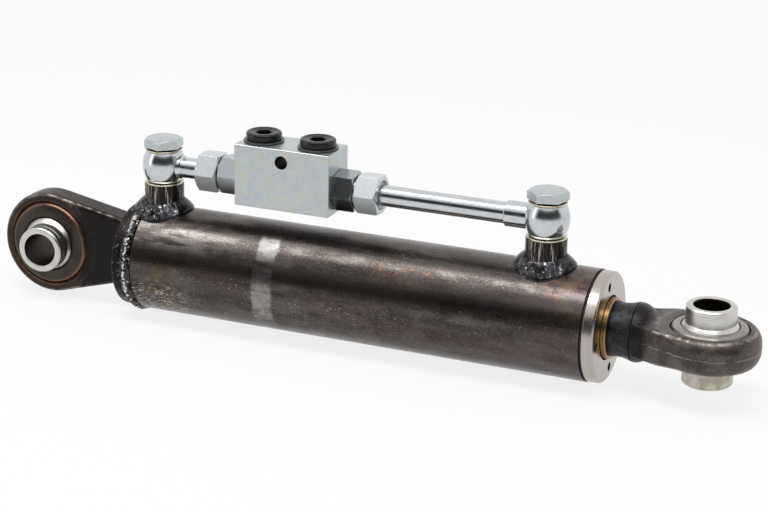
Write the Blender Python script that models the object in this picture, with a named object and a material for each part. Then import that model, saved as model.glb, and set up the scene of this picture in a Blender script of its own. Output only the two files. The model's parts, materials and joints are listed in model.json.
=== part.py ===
"""Hydraulic tractor top link: a double-acting cylinder with a ball eye at each end
and a pilot-operated double check valve piped between its two oil ports.

The origin is the centre of the base ball, +X runs along the cylinder to the rod eye
and +Z points to the oil ports. Lengths are in metres and angles in degrees. The rod is
fully in, and its eye lies a quarter turn from the base eye.
"""
import math

import bmesh
import bpy

# Whole link; the closed length, 400 mm from eye to eye, follows from these
STROKE = 0.190
GLAND_FACE_TO_EYE = 0.055
SEAT_GAP = 0.0003
RUNNING_GAP = 0.0002
BIG_STEPS = 28
MID_STEPS = 24
SMALL_STEPS = 16
TINY_STEPS = 12

# Cylinder tube
TUBE_RADIUS = 0.031
TUBE_WALL = 0.006
THREAD_RELIEF = 0.0015
THREAD_BORE_LENGTH = 0.0151

# Ball joints, pin category 1
PIN_BORE_RADIUS = 0.00965
BALL_SHOW = 0.00194
COLLAR_RADIUS = 0.0136
BALL_HALF_WIDTH = 0.022
COLLAR_CHAMFER = 0.0007
BALL_CLEARANCE = 0.0003
BALL_ARC_STEPS = 6

# Base end, one forging: eye plate, round cap and spigot
BASE_EYE_WALL = 0.0055
BASE_PLATE_HALF = 0.008
BASE_ROOT_HALF_HEIGHT = 0.0178
BASE_PLATE_TILT = 2.6
BASE_RACE_WALL = 0.0066
BASE_RACE_HALF_WIDTH = 0.0095
BASE_BALL_TURN = 4.8
BASE_EDGE_ROUNDING = [(0, 0.8), (0.0006, 0.93), (0.0017, 1.0)]
BASE_BORE_TURN = 5
CAP_FACE_X = 0.0545
CAP_THICKNESS = 0.0085
CAP_STEP = 0.0008
CAP_ROOT_FILLET = 0.006
CAP_ROOT_SHARES = (0, 0.35, 0.7, 1)
CAP_ROOT_SIDE_INSET = 0.0008
CAP_ROOT_TOP_INSET = 0.0005
SPIGOT_LENGTH = 0.0053

# Welds; a crown lists (share of the weld's width, height)
BASE_WELD_DEPTH = 0.004
BASE_WELD_ROOT_GAP = 0.0006
BASE_WELD_CROWN = [(0.2, 0.0013), (0.5, 0.0016), (0.85, 0.001)]
ROD_WELD_DEPTH = 0.005
ROD_WELD_ROOT_GAP = 0.001
ROD_WELD_CROWN = [(0.4, -0.0004), (0.75, -0.0003)]
PORT_WELD_LEG = 0.0062
PORT_WELD_TOE_LEG = 0.0058
PORT_WELD_TOE_HEIGHT = 0.0008
PORT_WELD_MIDDLE_HEIGHT = 0.0036

# Gland, screwed into the tube; its nose fills a share of the room round the guide ring
GLAND_FLANGE_STEP = 0.0004
GLAND_FLANGE_THICKNESS = 0.0063
GLAND_FLANGE_CHAMFER = 0.001
FLANGE_GROOVE = 0.0014
GLAND_PILOT_LENGTH = 0.0102
GLAND_NOSE_LENGTH = 0.0152
GLAND_NOSE_SHARE = 0.4
PIN_HOLE_RADIUS = 0.0019
PIN_HOLE_INSET = 0.0066
PIN_HOLE_DEPTH = 0.005
PIN_HOLE_TURN = -7.5
PIN_HOLE_COUNT = 4
O_RING_WIDTH = 0.0031
O_RING_GROOVE_DEPTH = 0.0025
GUIDE_INSET = 0.0033
GUIDE_WIDTH = 0.0096
GUIDE_GROOVE_DEPTH = 0.0022
ROD_SEAL_WIDTH = 0.006
ROD_SEAL_GROOVE_DEPTH = 0.0037
WIPER_POCKET_DEPTH = 0.0062
WIPER_POCKET_ROOM = 0.0028
WIPER_LIP = 0.0028
WIPER_LIP_WALL = 0.0019

# Rod and piston
ROD_RADIUS = 0.015
ROD_FACE_TO_EYE = 0.0467
PISTON_LENGTH = 0.026
PISTON_THREAD_RADIUS = 0.0098
PISTON_NUT_LENGTH = 0.0097
PISTON_NUT_FLATS = 0.028
PISTON_BACK_GAP = 0.0011
PISTON_RUNNING_GAP = 0.0004
PISTON_SEAL_WIDTH = 0.0066
PISTON_SEAL_GROOVE_DEPTH = 0.0041
PISTON_GUIDE_WIDTH = 0.0046
PISTON_GUIDE_GROOVE_DEPTH = 0.002
PISTON_GROOVE_PITCH = 0.0088

# Rod eye, a forging welded to the rod
ROD_EYE_WALL = 0.0065
ROD_EYE_HALF = 0.0097
ROD_ARM_HALF_WIDTH = 0.0137
ROD_SHANK_STEP = 0.0014
ROD_DOME_LENGTH = 0.0124
ROD_DOME_STEPS = 5
ROD_EDGE_ROUNDING = [(0, 0.25), (0.0012, 0.62), (0.0028, 0.87), (0.0050, 1.0)]
ROD_RACE_WALL = 0.0025
ROD_RACE_HALF_WIDTH = 0.0106

# Oil ports; the base port lies past the cap, the rod port round the gland's nose
BASE_PORT_OFFSET = 0.0115
ROD_PORT_OFFSET = 0.0045
PORT_DRILL_RADIUS = 0.004
BOSS_RADIUS = 0.0114
BOSS_HEIGHT = 0.0149
BANJO_WASHER_THICKNESS = 0.0008
LOWER_WASHER_RADIUS = 0.0113
UPPER_WASHER_RADIUS = 0.0107
BANJO_HALF_HEIGHT = 0.0091
BANJO_BALL_RADIUS = 0.0124
BANJO_NECK_RADIUS = 0.0103
BANJO_OIL_GROOVE = 0.0012
BANJO_GROOVE_HALF_HEIGHT = 0.004
BANJO_BOLT_RADIUS = 0.0067
BANJO_BOLT_WAIST = 0.0052
BANJO_BOLT_ENGAGEMENT = 0.0115
BANJO_DRILL_RADIUS = 0.0028
BANJO_CROSS_DRILL_RADIUS = 0.002
CROSS_DRILL_TURN = (5, 0, 10)
BOLT_HEAD_HEIGHT = 0.0057
BOLT_HEAD_FLATS = 0.020
BOLT_HEAD_TURNS = {"base": 10, "rod": -14}

# Oil pipe and its compression fittings
PIPE_RADIUS = 0.006
PIPE_BORE_RADIUS = 0.004
SOCKET_RADIUS = 0.0072
SOCKET_REACH = 0.023
SOCKET_DEPTH = 0.009
ADAPTER_HEX_LENGTH = 0.0122
ADAPTER_HEX_FLATS = 0.0205
ADAPTER_THREAD_RADIUS = 0.0082
ADAPTER_SPIGOT_RADIUS = 0.0089
ADAPTER_SPIGOT_LENGTH = 0.010
ADAPTER_PIPE_SEAT_DEPTH = 0.0071
ADAPTER_CONE_LENGTH = 0.0045
ADAPTER_CONE_SLOPE = math.tan(math.radians(12))
ADAPTER_SPRING_BORE_DEPTH = 0.0067
ADAPTER_FLOW_RADIUS = 0.0035
NUT_LENGTH = 0.0153
NUT_FLATS = 0.021
NUT_THREAD_LENGTH = 0.0114
ADAPTER_TURNS = {"base": 13, "rod": 8}
NUT_TURNS = {"base": 1, "rod": -4}
HEX_CHAMFER = 0.0006
CUTTING_RING_LENGTH = 0.006
CUTTING_RING_RADIUS = 0.0079

# Check valve block
BLOCK_TO_PORT = 0.0518
BLOCK_LENGTH = 0.0582
BLOCK_HALF_WIDTH = 0.0132
BLOCK_BELOW_PIPE = 0.0134
BLOCK_HEIGHT = 0.0357
BLOCK_CHAMFER = 0.0007
BLOCK_HOLE_RADIUS = 0.0037
BLOCK_HOLE_DROP = 0.0074
ADAPTER_POCKET_DEPTH = 0.0072
SEAT_POCKET_DEPTH = 0.0038
VALVE_SEAT_RADIUS = 0.0059
VALVE_SEAT_HOLE = 0.003
VALVE_SEAT_CHAMFER = 0.0012
PILOT_BORE_RADIUS = 0.0053
PILOT_HALF_LENGTH = 0.0095
PILOT_STEM_RADIUS = 0.0016
PILOT_TRAVEL = 0.002
POPPET_LENGTH = 0.0076
POPPET_NOSE = 0.0011
POPPET_POCKET_RADIUS = 0.0034
POPPET_POCKET_DEPTH = 0.004
SPRING_COIL_RADIUS = 0.0025
SPRING_WIRE_RADIUS = 0.00035
SPRING_TURNS = 4
SPRING_TURN_STEPS = 8
SPRING_WIRE_STEPS = 4

# Hose ports on top of the block, closed with transport plugs
HOSE_PORT_SPACING = 0.0334
HOSE_PORT_RADIUS = 0.0083
HOSE_PORT_DEPTH = 0.012
HOSE_PORT_DRILL = 0.002
PLUG_SHANK_LENGTH = 0.009
PLUG_HEAD_RADIUS = 0.01015
PLUG_HEAD_HEIGHT = 0.0043
PLUG_HEAD_ROUND = 0.0009
PLUG_SOCKET_FLATS = 0.0085
PLUG_SOCKET_DEPTH = 0.0075
PLUG_SEAL_RADIUS = 0.0115
PLUG_SEAL_THICKNESS = 0.0009

# Radii worked out from the sizes above
CHAMFER_SHIFT = SEAT_GAP * math.sqrt(2)
BORE_RADIUS = TUBE_RADIUS - TUBE_WALL
THREAD_BORE_RADIUS = BORE_RADIUS + THREAD_RELIEF
CAP_RADIUS = TUBE_RADIUS - CAP_STEP
BASE_WELD_ROOT_RADIUS = TUBE_RADIUS - BASE_WELD_DEPTH
BALL_RADIUS = math.hypot(COLLAR_RADIUS, ROD_RACE_HALF_WIDTH + BALL_SHOW)
BASE_RACE_RADIUS = BALL_RADIUS + BASE_RACE_WALL
BASE_EYE_RADIUS = BASE_RACE_RADIUS + BASE_EYE_WALL
CAP_ROOT_HALF_WIDTH = BASE_PLATE_HALF - CAP_ROOT_SIDE_INSET
CAP_ROOT_HALF_HEIGHT = BASE_ROOT_HALF_HEIGHT - CAP_ROOT_TOP_INSET
GLAND_BORE_RADIUS = ROD_RADIUS + SEAT_GAP
GUIDE_FLOOR_RADIUS = GLAND_BORE_RADIUS + GUIDE_GROOVE_DEPTH
GLAND_NOSE_RADIUS = GUIDE_FLOOR_RADIUS + GLAND_NOSE_SHARE * (BORE_RADIUS - GUIDE_FLOOR_RADIUS)
GLAND_FLANGE_RADIUS = TUBE_RADIUS - GLAND_FLANGE_STEP
PIN_HOLE_CIRCLE = GLAND_FLANGE_RADIUS - PIN_HOLE_INSET
WIPER_POCKET_RADIUS = ROD_RADIUS + WIPER_POCKET_ROOM
WIPER_LIP_RADIUS = ROD_RADIUS + WIPER_LIP_WALL
ROD_WELD_ROOT_RADIUS = ROD_RADIUS - ROD_WELD_DEPTH
ROD_SHANK_RADIUS = ROD_RADIUS + ROD_SHANK_STEP
ROD_RACE_RADIUS = BALL_RADIUS + ROD_RACE_WALL
ROD_EYE_RADIUS = ROD_RACE_RADIUS + ROD_EYE_WALL
PORT_WELD_TOE_RADIUS = BOSS_RADIUS + PORT_WELD_TOE_LEG
BANJO_BORE_RADIUS = BANJO_BOLT_RADIUS + SEAT_GAP

# Places along the cylinder, from the cap to the rod eye
CAP_BACK_X = CAP_FACE_X + CAP_THICKNESS
TUBE_START_X = CAP_BACK_X + BASE_WELD_ROOT_GAP
PISTON_STACK = PISTON_NUT_LENGTH + 2 * SEAT_GAP
PISTON_REAR_X = CAP_BACK_X + SPIGOT_LENGTH + PISTON_BACK_GAP + PISTON_STACK
PISTON_FRONT_X = PISTON_REAR_X + PISTON_LENGTH
GLAND_NOSE_X = PISTON_FRONT_X + STROKE + PISTON_BACK_GAP
GLAND_PILOT_X = GLAND_NOSE_X + GLAND_NOSE_LENGTH
TUBE_END_X = GLAND_PILOT_X + GLAND_PILOT_LENGTH + THREAD_BORE_LENGTH
GLAND_BACK_X = TUBE_END_X + FLANGE_GROOVE
GLAND_FACE_X = GLAND_BACK_X + GLAND_FLANGE_THICKNESS
ROD_EYE_X = GLAND_FACE_X + GLAND_FACE_TO_EYE
ROD_END_X = ROD_EYE_X - ROD_FACE_TO_EYE
SHANK_FACE_X = ROD_END_X + ROD_WELD_ROOT_GAP

# Places of the oil ports, pipe and valve block
BASE_PORT_X = CAP_BACK_X + BASE_PORT_OFFSET
ROD_PORT_X = GLAND_PILOT_X - ROD_PORT_OFFSET
SOCKET_END_X = ROD_PORT_X - SOCKET_REACH
BOSS_TOP_Z = TUBE_RADIUS + BOSS_HEIGHT
BANJO_Z = BOSS_TOP_Z + 2 * SEAT_GAP + BANJO_WASHER_THICKNESS + BANJO_HALF_HEIGHT
BANJO_TOP_Z = BANJO_Z + BANJO_HALF_HEIGHT
BOLT_SEAT_Z = BANJO_TOP_Z + 2 * SEAT_GAP + BANJO_WASHER_THICKNESS
BLOCK_START_X = BASE_PORT_X + BLOCK_TO_PORT
BLOCK_END_X = BLOCK_START_X + BLOCK_LENGTH
BLOCK_CENTRE_X = BLOCK_START_X + BLOCK_LENGTH / 2
BLOCK_BOTTOM_Z = BANJO_Z - BLOCK_BELOW_PIPE
BLOCK_TOP_Z = BLOCK_BOTTOM_Z + BLOCK_HEIGHT
SPIGOT_START = SEAT_GAP + ADAPTER_HEX_LENGTH
SPIGOT_END = SPIGOT_START + ADAPTER_SPIGOT_LENGTH
PIPE_SEAT = SPIGOT_END - ADAPTER_PIPE_SEAT_DEPTH
NUT_START = SPIGOT_START + SEAT_GAP
NUT_END = NUT_START + NUT_LENGTH
VALVE_SEAT_FACE = -ADAPTER_POCKET_DEPTH - SEAT_GAP
VALVE_SEAT_BACK = -ADAPTER_POCKET_DEPTH - SEAT_POCKET_DEPTH + SEAT_GAP
SIDES = {"base": (BLOCK_START_X, 180), "rod": (BLOCK_END_X, 0)}
PORTS = {"base": BASE_PORT_X, "rod": ROD_PORT_X}


def finish(name, colour, metallic, roughness):
    """A material with one Principled shader."""
    material = bpy.data.materials.new(name)
    material.use_nodes = True
    shader = material.node_tree.nodes["Principled BSDF"]
    shader.inputs["Base Color"].default_value = (*colour, 1)
    shader.inputs["Metallic"].default_value = metallic
    shader.inputs["Roughness"].default_value = roughness
    material.diffuse_color = (*colour, 1)
    return material


def make_object(name, mesh, material, turn=(0, 0, 0), at=(0, 0, 0)):
    """Give a bmesh a name, a material and a place."""
    data = bpy.data.meshes.new(name)
    mesh.to_mesh(data)
    mesh.free()
    data.shade_smooth()
    data.set_sharp_from_angle(angle=math.radians(35))
    if material:
        data.materials.append(material)
    piece = bpy.data.objects.new(name, data)
    piece.rotation_euler = [math.radians(angle) for angle in turn]
    piece.location = at
    bpy.context.scene.collection.objects.link(piece)
    return piece


def spin(outline, steps):
    """Turn an outline of (along, radius) points about X; it is a ring unless it ends on X."""
    mesh = bmesh.new()
    corners = [mesh.verts.new((along, radius, 0)) for along, radius in outline]
    pairs = list(zip(corners, corners[1:]))
    if outline[0][1] > 0:
        pairs.append((corners[-1], corners[0]))
    edges = [mesh.edges.new(pair) for pair in pairs]
    bmesh.ops.spin(mesh, geom=corners + edges, cent=(0, 0, 0), axis=(1, 0, 0),
                   angle=2 * math.pi, steps=steps)
    bmesh.ops.remove_doubles(mesh, verts=mesh.verts, dist=1e-6)
    bmesh.ops.recalc_face_normals(mesh, faces=mesh.faces)
    return mesh


def rod_outline(start, end, radius):
    """Outline of a plain solid cylinder."""
    return [(start, 0), (start, radius), (end, radius), (end, 0)]


def ring_outline(start, end, inner, outer):
    """Outline of a plain square-edged ring."""
    return [(start, inner), (start, outer), (end, outer), (end, inner)]


def arc_points(radius, start, end, steps):
    """Points (along, radius) of a circle about the origin, from one place along it to another."""
    first = math.asin(start / radius)
    last = math.asin(end / radius)
    angles = [first + (last - first) * step / steps for step in range(steps + 1)]
    return [(radius * math.sin(angle), radius * math.cos(angle)) for angle in angles]


def loft(loops, closed=False):
    """Skin loops of equally many points; a closed loft joins the last loop to the first."""
    mesh = bmesh.new()
    rings = [[mesh.verts.new(point) for point in loop] for loop in loops]
    spans = list(zip(rings, rings[1:]))
    if closed:
        spans.append((rings[-1], rings[0]))
    else:
        mesh.faces.new(rings[0])
        mesh.faces.new(rings[-1])
    for near, far in spans:
        for index, corner in enumerate(near):
            mesh.faces.new((near[index - 1], corner, far[index], far[index - 1]))
    bmesh.ops.recalc_face_normals(mesh, faces=mesh.faces)
    return mesh


def hexagon(start, end, flats):
    """A hexagonal bar along X with two corners on the Y axis."""
    corner = flats / math.sqrt(3)
    angles = [math.pi / 3 * step for step in range(6)]
    section = [(corner * math.cos(angle), corner * math.sin(angle)) for angle in angles]
    return loft([[(along, y, z) for y, z in section] for along in (start, end)])


def apply_tool(piece, operation, name, mesh, turn=(0, 0, 0), at=(0, 0, 0)):
    """Cut, join or intersect a piece with a hidden tool body."""
    tool = make_object(f"{piece.name}_{name}", mesh, None, turn, at)
    tool.hide_render = True
    tool.display_type = "WIRE"
    modifier = piece.modifiers.new(name, "BOOLEAN")
    modifier.operation = operation
    modifier.solver = "EXACT"
    modifier.object = tool
    return tool


def chamfered_hex_limits(start, end, flats, start_cut, end_cut):
    """The turned shape that takes the corners off a hexagon's ends."""
    corner = flats / math.sqrt(3) + HEX_CHAMFER
    face = flats / 2 - HEX_CHAMFER / 2
    slope = math.tan(math.radians(30))
    depth = (corner - face) * slope
    outline = [(start - (0 if start_cut else depth), 0)]
    if start_cut:
        outline += [(start, face), (start + depth, corner)]
    else:
        outline += [(start - depth, corner)]
    if end_cut:
        outline += [(end - depth, corner), (end, face), (end, 0)]
    else:
        outline += [(end + depth, corner), (end + depth, 0)]
    return outline


def eye_outline(radius, root_distance, root_half_width, inset, steps):
    """Plan of an eye: an arc about the origin and two tangents that run to the root."""
    tangent = math.atan2(root_half_width, root_distance)
    tangent += math.acos(radius / math.hypot(root_distance, root_half_width))
    sweep = 2 * (math.pi - tangent)
    arc = [tangent + sweep * step / steps for step in range(steps + 1)]
    points = [((radius - inset) * math.cos(angle), (radius - inset) * math.sin(angle)) for angle in arc]
    root = (radius - inset - root_distance * math.cos(tangent)) / math.sin(tangent)
    return points + [(root_distance, -root), (root_distance, root)]


def eye_plate(radius, root_distance, root_half_width, half_thickness, rounding, steps):
    """An eye plate in XY with its edges rounded off: rounding lists (inset, share of half height)."""
    loops = []
    levels = [(inset, -share) for inset, share in reversed(rounding)] + list(rounding)
    for inset, share in levels:
        plan = eye_outline(radius, root_distance, root_half_width, inset, steps)
        loops.append([(x, y, share * half_thickness) for x, y in plan])
    return loft(loops)


def race_outline(half_width, outer_radius, shoulder):
    """A ring with a spherical seat, coned off towards its two faces."""
    seat = arc_points(BALL_RADIUS + BALL_CLEARANCE, half_width, -half_width, BALL_ARC_STEPS)
    rim = seat[0][1] + SEAT_GAP
    return seat + [(-half_width, rim), (-shoulder, outer_radius), (shoulder, outer_radius),
                   (half_width, rim)]


def ball_outline():
    """A ball with a collar on each side, bored through for the pin."""
    junction = math.sqrt(BALL_RADIUS ** 2 - COLLAR_RADIUS ** 2)
    rim = COLLAR_RADIUS - COLLAR_CHAMFER
    shoulder = BALL_HALF_WIDTH - COLLAR_CHAMFER
    ball = arc_points(BALL_RADIUS, -junction, junction, BALL_ARC_STEPS)
    return ([(-BALL_HALF_WIDTH, PIN_BORE_RADIUS), (-BALL_HALF_WIDTH, rim), (-shoulder, COLLAR_RADIUS)]
            + ball
            + [(shoulder, COLLAR_RADIUS), (BALL_HALF_WIDTH, rim), (BALL_HALF_WIDTH, PIN_BORE_RADIUS)])


def butt_weld_outline(left_x, left_radius, right_x, right_radius, root_radius, crown):
    """A weld that fills the V between two 45 degree chamfers; crown lists (share, height)."""
    bottom = root_radius + 2 * SEAT_GAP
    left = left_x - (left_radius - root_radius) + CHAMFER_SHIFT
    right = right_x + (right_radius - root_radius) - CHAMFER_SHIFT
    top = [(left + (right - left) * share, left_radius + (right_radius - left_radius) * share + height)
           for share, height in crown]
    return ([(left, left_radius)] + top
            + [(right, right_radius),
               (right_x + (bottom - root_radius) - CHAMFER_SHIFT, bottom),
               (left_x - (bottom - root_radius) + CHAMFER_SHIFT, bottom)])


def make_tube(materials):
    """The cylinder tube, chamfered for the base weld, with two drilled oil ports."""
    bevel_end = TUBE_START_X + TUBE_RADIUS - BASE_WELD_ROOT_RADIUS
    thread_x = TUBE_END_X - THREAD_BORE_LENGTH
    outline = [(TUBE_START_X, BORE_RADIUS), (TUBE_START_X, BASE_WELD_ROOT_RADIUS),
               (bevel_end, TUBE_RADIUS), (TUBE_END_X, TUBE_RADIUS),
               (TUBE_END_X, THREAD_BORE_RADIUS), (thread_x, THREAD_BORE_RADIUS),
               (thread_x, BORE_RADIUS)]
    tube = make_object("barrel_tube", spin(outline, BIG_STEPS), materials["raw_tube"])
    for side, port_x in PORTS.items():
        drill = spin(rod_outline(BORE_RADIUS / 2, TUBE_RADIUS * 1.5, PORT_DRILL_RADIUS), TINY_STEPS)
        apply_tool(tube, "DIFFERENCE", f"{side}_port", drill, (0, -90, 0), (port_x, 0, 0))


def make_base_end(materials):
    """Eye plate, round cap and spigot in one forging, with its weld, race and ball."""
    root = CAP_FACE_X + CAP_THICKNESS / 3
    plate = eye_plate(BASE_EYE_RADIUS, root, BASE_ROOT_HALF_HEIGHT, BASE_PLATE_HALF,
                      BASE_EDGE_ROUNDING, SMALL_STEPS)
    end = make_object("base_end", plate, materials["forged_base"], (90, -BASE_PLATE_TILT, 0))
    bore = rod_outline(-CAP_FACE_X, CAP_FACE_X, BASE_RACE_RADIUS + SEAT_GAP)
    apply_tool(end, "DIFFERENCE", "race_bore", spin(bore, MID_STEPS), (BASE_BORE_TURN, 0, 90))
    spigot_radius = BORE_RADIUS - SEAT_GAP
    chamfer = CAP_RADIUS - BASE_WELD_ROOT_RADIUS
    cap = [(CAP_FACE_X, 0), (CAP_FACE_X, CAP_RADIUS), (CAP_BACK_X - chamfer, CAP_RADIUS),
           (CAP_BACK_X, BASE_WELD_ROOT_RADIUS), (CAP_BACK_X, spigot_radius),
           (CAP_BACK_X + SPIGOT_LENGTH, spigot_radius), (CAP_BACK_X + SPIGOT_LENGTH, 0)]
    apply_tool(end, "UNION", "cap", spin(cap, BIG_STEPS))
    foot = []
    for share in CAP_ROOT_SHARES:
        flare = CAP_ROOT_FILLET * (1 - math.sqrt(1 - share ** 2))
        width = CAP_ROOT_HALF_WIDTH + flare
        height = CAP_ROOT_HALF_HEIGHT + flare / 2
        along = CAP_FACE_X - CAP_ROOT_FILLET * (1 - share)
        foot.append([(along, width, height), (along, -width, height),
                     (along, -width, -height), (along, width, -height)])
    foot.append([(CAP_FACE_X + CAP_THICKNESS / 2, y, z) for _, y, z in foot[-1]])
    rise = CAP_FACE_X * math.tan(math.radians(BASE_PLATE_TILT))
    apply_tool(end, "UNION", "foot", loft(foot), (0, 0, 0), (0, 0, rise))
    race = race_outline(BASE_RACE_HALF_WIDTH, BASE_RACE_RADIUS, BASE_PLATE_HALF)
    make_object("base_race", spin(race, MID_STEPS), materials["bearing_ring"], (0, 0, 90))
    make_object("base_ball", spin(ball_outline(), MID_STEPS), materials["ball_steel"],
                (0, 0, 90 + BASE_BALL_TURN))
    weld = butt_weld_outline(CAP_BACK_X, CAP_RADIUS, TUBE_START_X, TUBE_RADIUS,
                             BASE_WELD_ROOT_RADIUS, BASE_WELD_CROWN)
    weld = make_object("base_weld", spin(weld, BIG_STEPS), materials["weld_metal"])
    clear = rod_outline(0, BOSS_TOP_Z, PORT_WELD_TOE_RADIUS + SEAT_GAP)
    at = (BASE_PORT_X, 0, 0)
    clear = apply_tool(weld, "DIFFERENCE", "port_weld_room", spin(clear, SMALL_STEPS), (0, -90, 0), at)
    kept = rod_outline(0, 2 * BASE_PORT_X, TUBE_RADIUS + SEAT_GAP / 3)
    apply_tool(clear, "DIFFERENCE", "tube_side", spin(kept, BIG_STEPS))


def make_gland(materials):
    """The screwed gland with its pin-spanner holes and the rings that it carries."""
    bore = GLAND_BORE_RADIUS
    pilot_radius = BORE_RADIUS - SEAT_GAP
    thread_radius = THREAD_BORE_RADIUS - SEAT_GAP
    thread_x = TUBE_END_X - THREAD_BORE_LENGTH + SEAT_GAP
    o_groove = GLAND_PILOT_X + (GLAND_PILOT_LENGTH - O_RING_WIDTH) / 2
    o_groove_end = o_groove + O_RING_WIDTH + SEAT_GAP
    guide = GLAND_NOSE_X + GUIDE_INSET
    guide_end = guide + GUIDE_WIDTH + 2 * RUNNING_GAP
    seal = GLAND_PILOT_X + GLAND_PILOT_LENGTH
    seal_end = seal + ROD_SEAL_WIDTH + 2 * RUNNING_GAP
    pocket = GLAND_FACE_X - WIPER_POCKET_DEPTH
    chamfer = GLAND_FLANGE_CHAMFER
    outline = [(GLAND_NOSE_X, bore), (GLAND_NOSE_X, GLAND_NOSE_RADIUS),
               (GLAND_PILOT_X, GLAND_NOSE_RADIUS), (GLAND_PILOT_X, pilot_radius),
               (o_groove, pilot_radius), (o_groove, pilot_radius - O_RING_GROOVE_DEPTH),
               (o_groove_end, pilot_radius - O_RING_GROOVE_DEPTH), (o_groove_end, pilot_radius),
               (thread_x, pilot_radius), (thread_x, thread_radius),
               (GLAND_BACK_X, thread_radius), (GLAND_BACK_X, GLAND_FLANGE_RADIUS),
               (GLAND_FACE_X - chamfer, GLAND_FLANGE_RADIUS),
               (GLAND_FACE_X, GLAND_FLANGE_RADIUS - chamfer),
               (GLAND_FACE_X, WIPER_POCKET_RADIUS), (pocket, WIPER_POCKET_RADIUS), (pocket, bore),
               (seal_end, bore), (seal_end, bore + ROD_SEAL_GROOVE_DEPTH),
               (seal, bore + ROD_SEAL_GROOVE_DEPTH), (seal, bore),
               (guide_end, bore), (guide_end, bore + GUIDE_GROOVE_DEPTH),
               (guide, bore + GUIDE_GROOVE_DEPTH), (guide, bore)]
    gland = make_object("gland", spin(outline, BIG_STEPS), materials["turned_steel"])
    for number in range(PIN_HOLE_COUNT):
        angle = math.radians(90 + PIN_HOLE_TURN + 360 * number / PIN_HOLE_COUNT)
        hole = rod_outline(-PIN_HOLE_DEPTH, PIN_HOLE_DEPTH, PIN_HOLE_RADIUS)
        at = (GLAND_FACE_X, -PIN_HOLE_CIRCLE * math.cos(angle), PIN_HOLE_CIRCLE * math.sin(angle))
        apply_tool(gland, "DIFFERENCE", f"pin_hole_{number}", spin(hole, TINY_STEPS), (0, 0, 0), at)
    running = ROD_RADIUS + RUNNING_GAP
    rings = {
        "gland_o_ring": (o_groove + SEAT_GAP / 2, O_RING_WIDTH,
                         pilot_radius - O_RING_GROOVE_DEPTH + RUNNING_GAP, BORE_RADIUS - RUNNING_GAP,
                         materials["black_rubber"]),
        "rod_guide_ring": (guide + RUNNING_GAP, GUIDE_WIDTH, running,
                           bore + GUIDE_GROOVE_DEPTH - RUNNING_GAP, materials["guide_plastic"]),
        "rod_seal": (seal + RUNNING_GAP, ROD_SEAL_WIDTH, running,
                     bore + ROD_SEAL_GROOVE_DEPTH - RUNNING_GAP, materials["seal_plastic"]),
        "flange_ring": (TUBE_END_X + RUNNING_GAP, FLANGE_GROOVE - 2 * RUNNING_GAP,
                        thread_radius + SEAT_GAP, GLAND_FLANGE_RADIUS - SEAT_GAP,
                        materials["black_rubber"]),
    }
    for name, (start, width, inner, outer, material) in rings.items():
        make_object(name, spin(ring_outline(start, start + width, inner, outer), MID_STEPS), material)
    lip = GLAND_FACE_X + WIPER_LIP
    wiper = [(pocket + SEAT_GAP, running), (pocket + SEAT_GAP, WIPER_POCKET_RADIUS - SEAT_GAP),
             (GLAND_FACE_X - chamfer, WIPER_POCKET_RADIUS - SEAT_GAP),
             (GLAND_FACE_X - chamfer / 2, WIPER_LIP_RADIUS), (lip - chamfer / 2, WIPER_LIP_RADIUS),
             (lip, WIPER_LIP_RADIUS - chamfer / 2), (lip, running)]
    make_object("wiper_ring", spin(wiper, MID_STEPS), materials["wiper_bronze"])


def make_piston(materials):
    """The piston with a seal between two guide rings, held on the rod by a nut."""
    radius = BORE_RADIUS - PISTON_RUNNING_GAP
    thread_bore = PISTON_THREAD_RADIUS + SEAT_GAP
    centre = (PISTON_REAR_X + PISTON_FRONT_X) / 2
    grooves = [("piston_guide_base", -PISTON_GROOVE_PITCH, PISTON_GUIDE_WIDTH,
                PISTON_GUIDE_GROOVE_DEPTH, "guide_plastic"),
               ("piston_seal", 0, PISTON_SEAL_WIDTH, PISTON_SEAL_GROOVE_DEPTH, "seal_plastic"),
               ("piston_guide_rod", PISTON_GROOVE_PITCH, PISTON_GUIDE_WIDTH,
                PISTON_GUIDE_GROOVE_DEPTH, "guide_plastic")]
    outline = [(PISTON_REAR_X, thread_bore), (PISTON_REAR_X, radius)]
    for name, offset, width, depth, material in grooves:
        start = centre + offset - width / 2
        end = start + width
        floor = radius - depth
        outline += [(start - RUNNING_GAP, radius), (start - RUNNING_GAP, floor),
                    (end + RUNNING_GAP, floor), (end + RUNNING_GAP, radius)]
        ring = ring_outline(start, end, floor + SEAT_GAP, BORE_RADIUS - RUNNING_GAP)
        make_object(name, spin(ring, MID_STEPS), materials[material])
    outline += [(PISTON_FRONT_X, radius), (PISTON_FRONT_X, thread_bore)]
    make_object("piston", spin(outline, MID_STEPS), materials["turned_steel"])
    nut_end = PISTON_REAR_X - SEAT_GAP
    nut_start = nut_end - PISTON_NUT_LENGTH
    nut = make_object("piston_nut", hexagon(nut_start, nut_end, PISTON_NUT_FLATS),
                      materials["zinc_steel"])
    bore = rod_outline(nut_start - SEAT_GAP, nut_end + SEAT_GAP, thread_bore)
    apply_tool(nut, "DIFFERENCE", "bore", spin(bore, SMALL_STEPS))
    return nut_start


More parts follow.
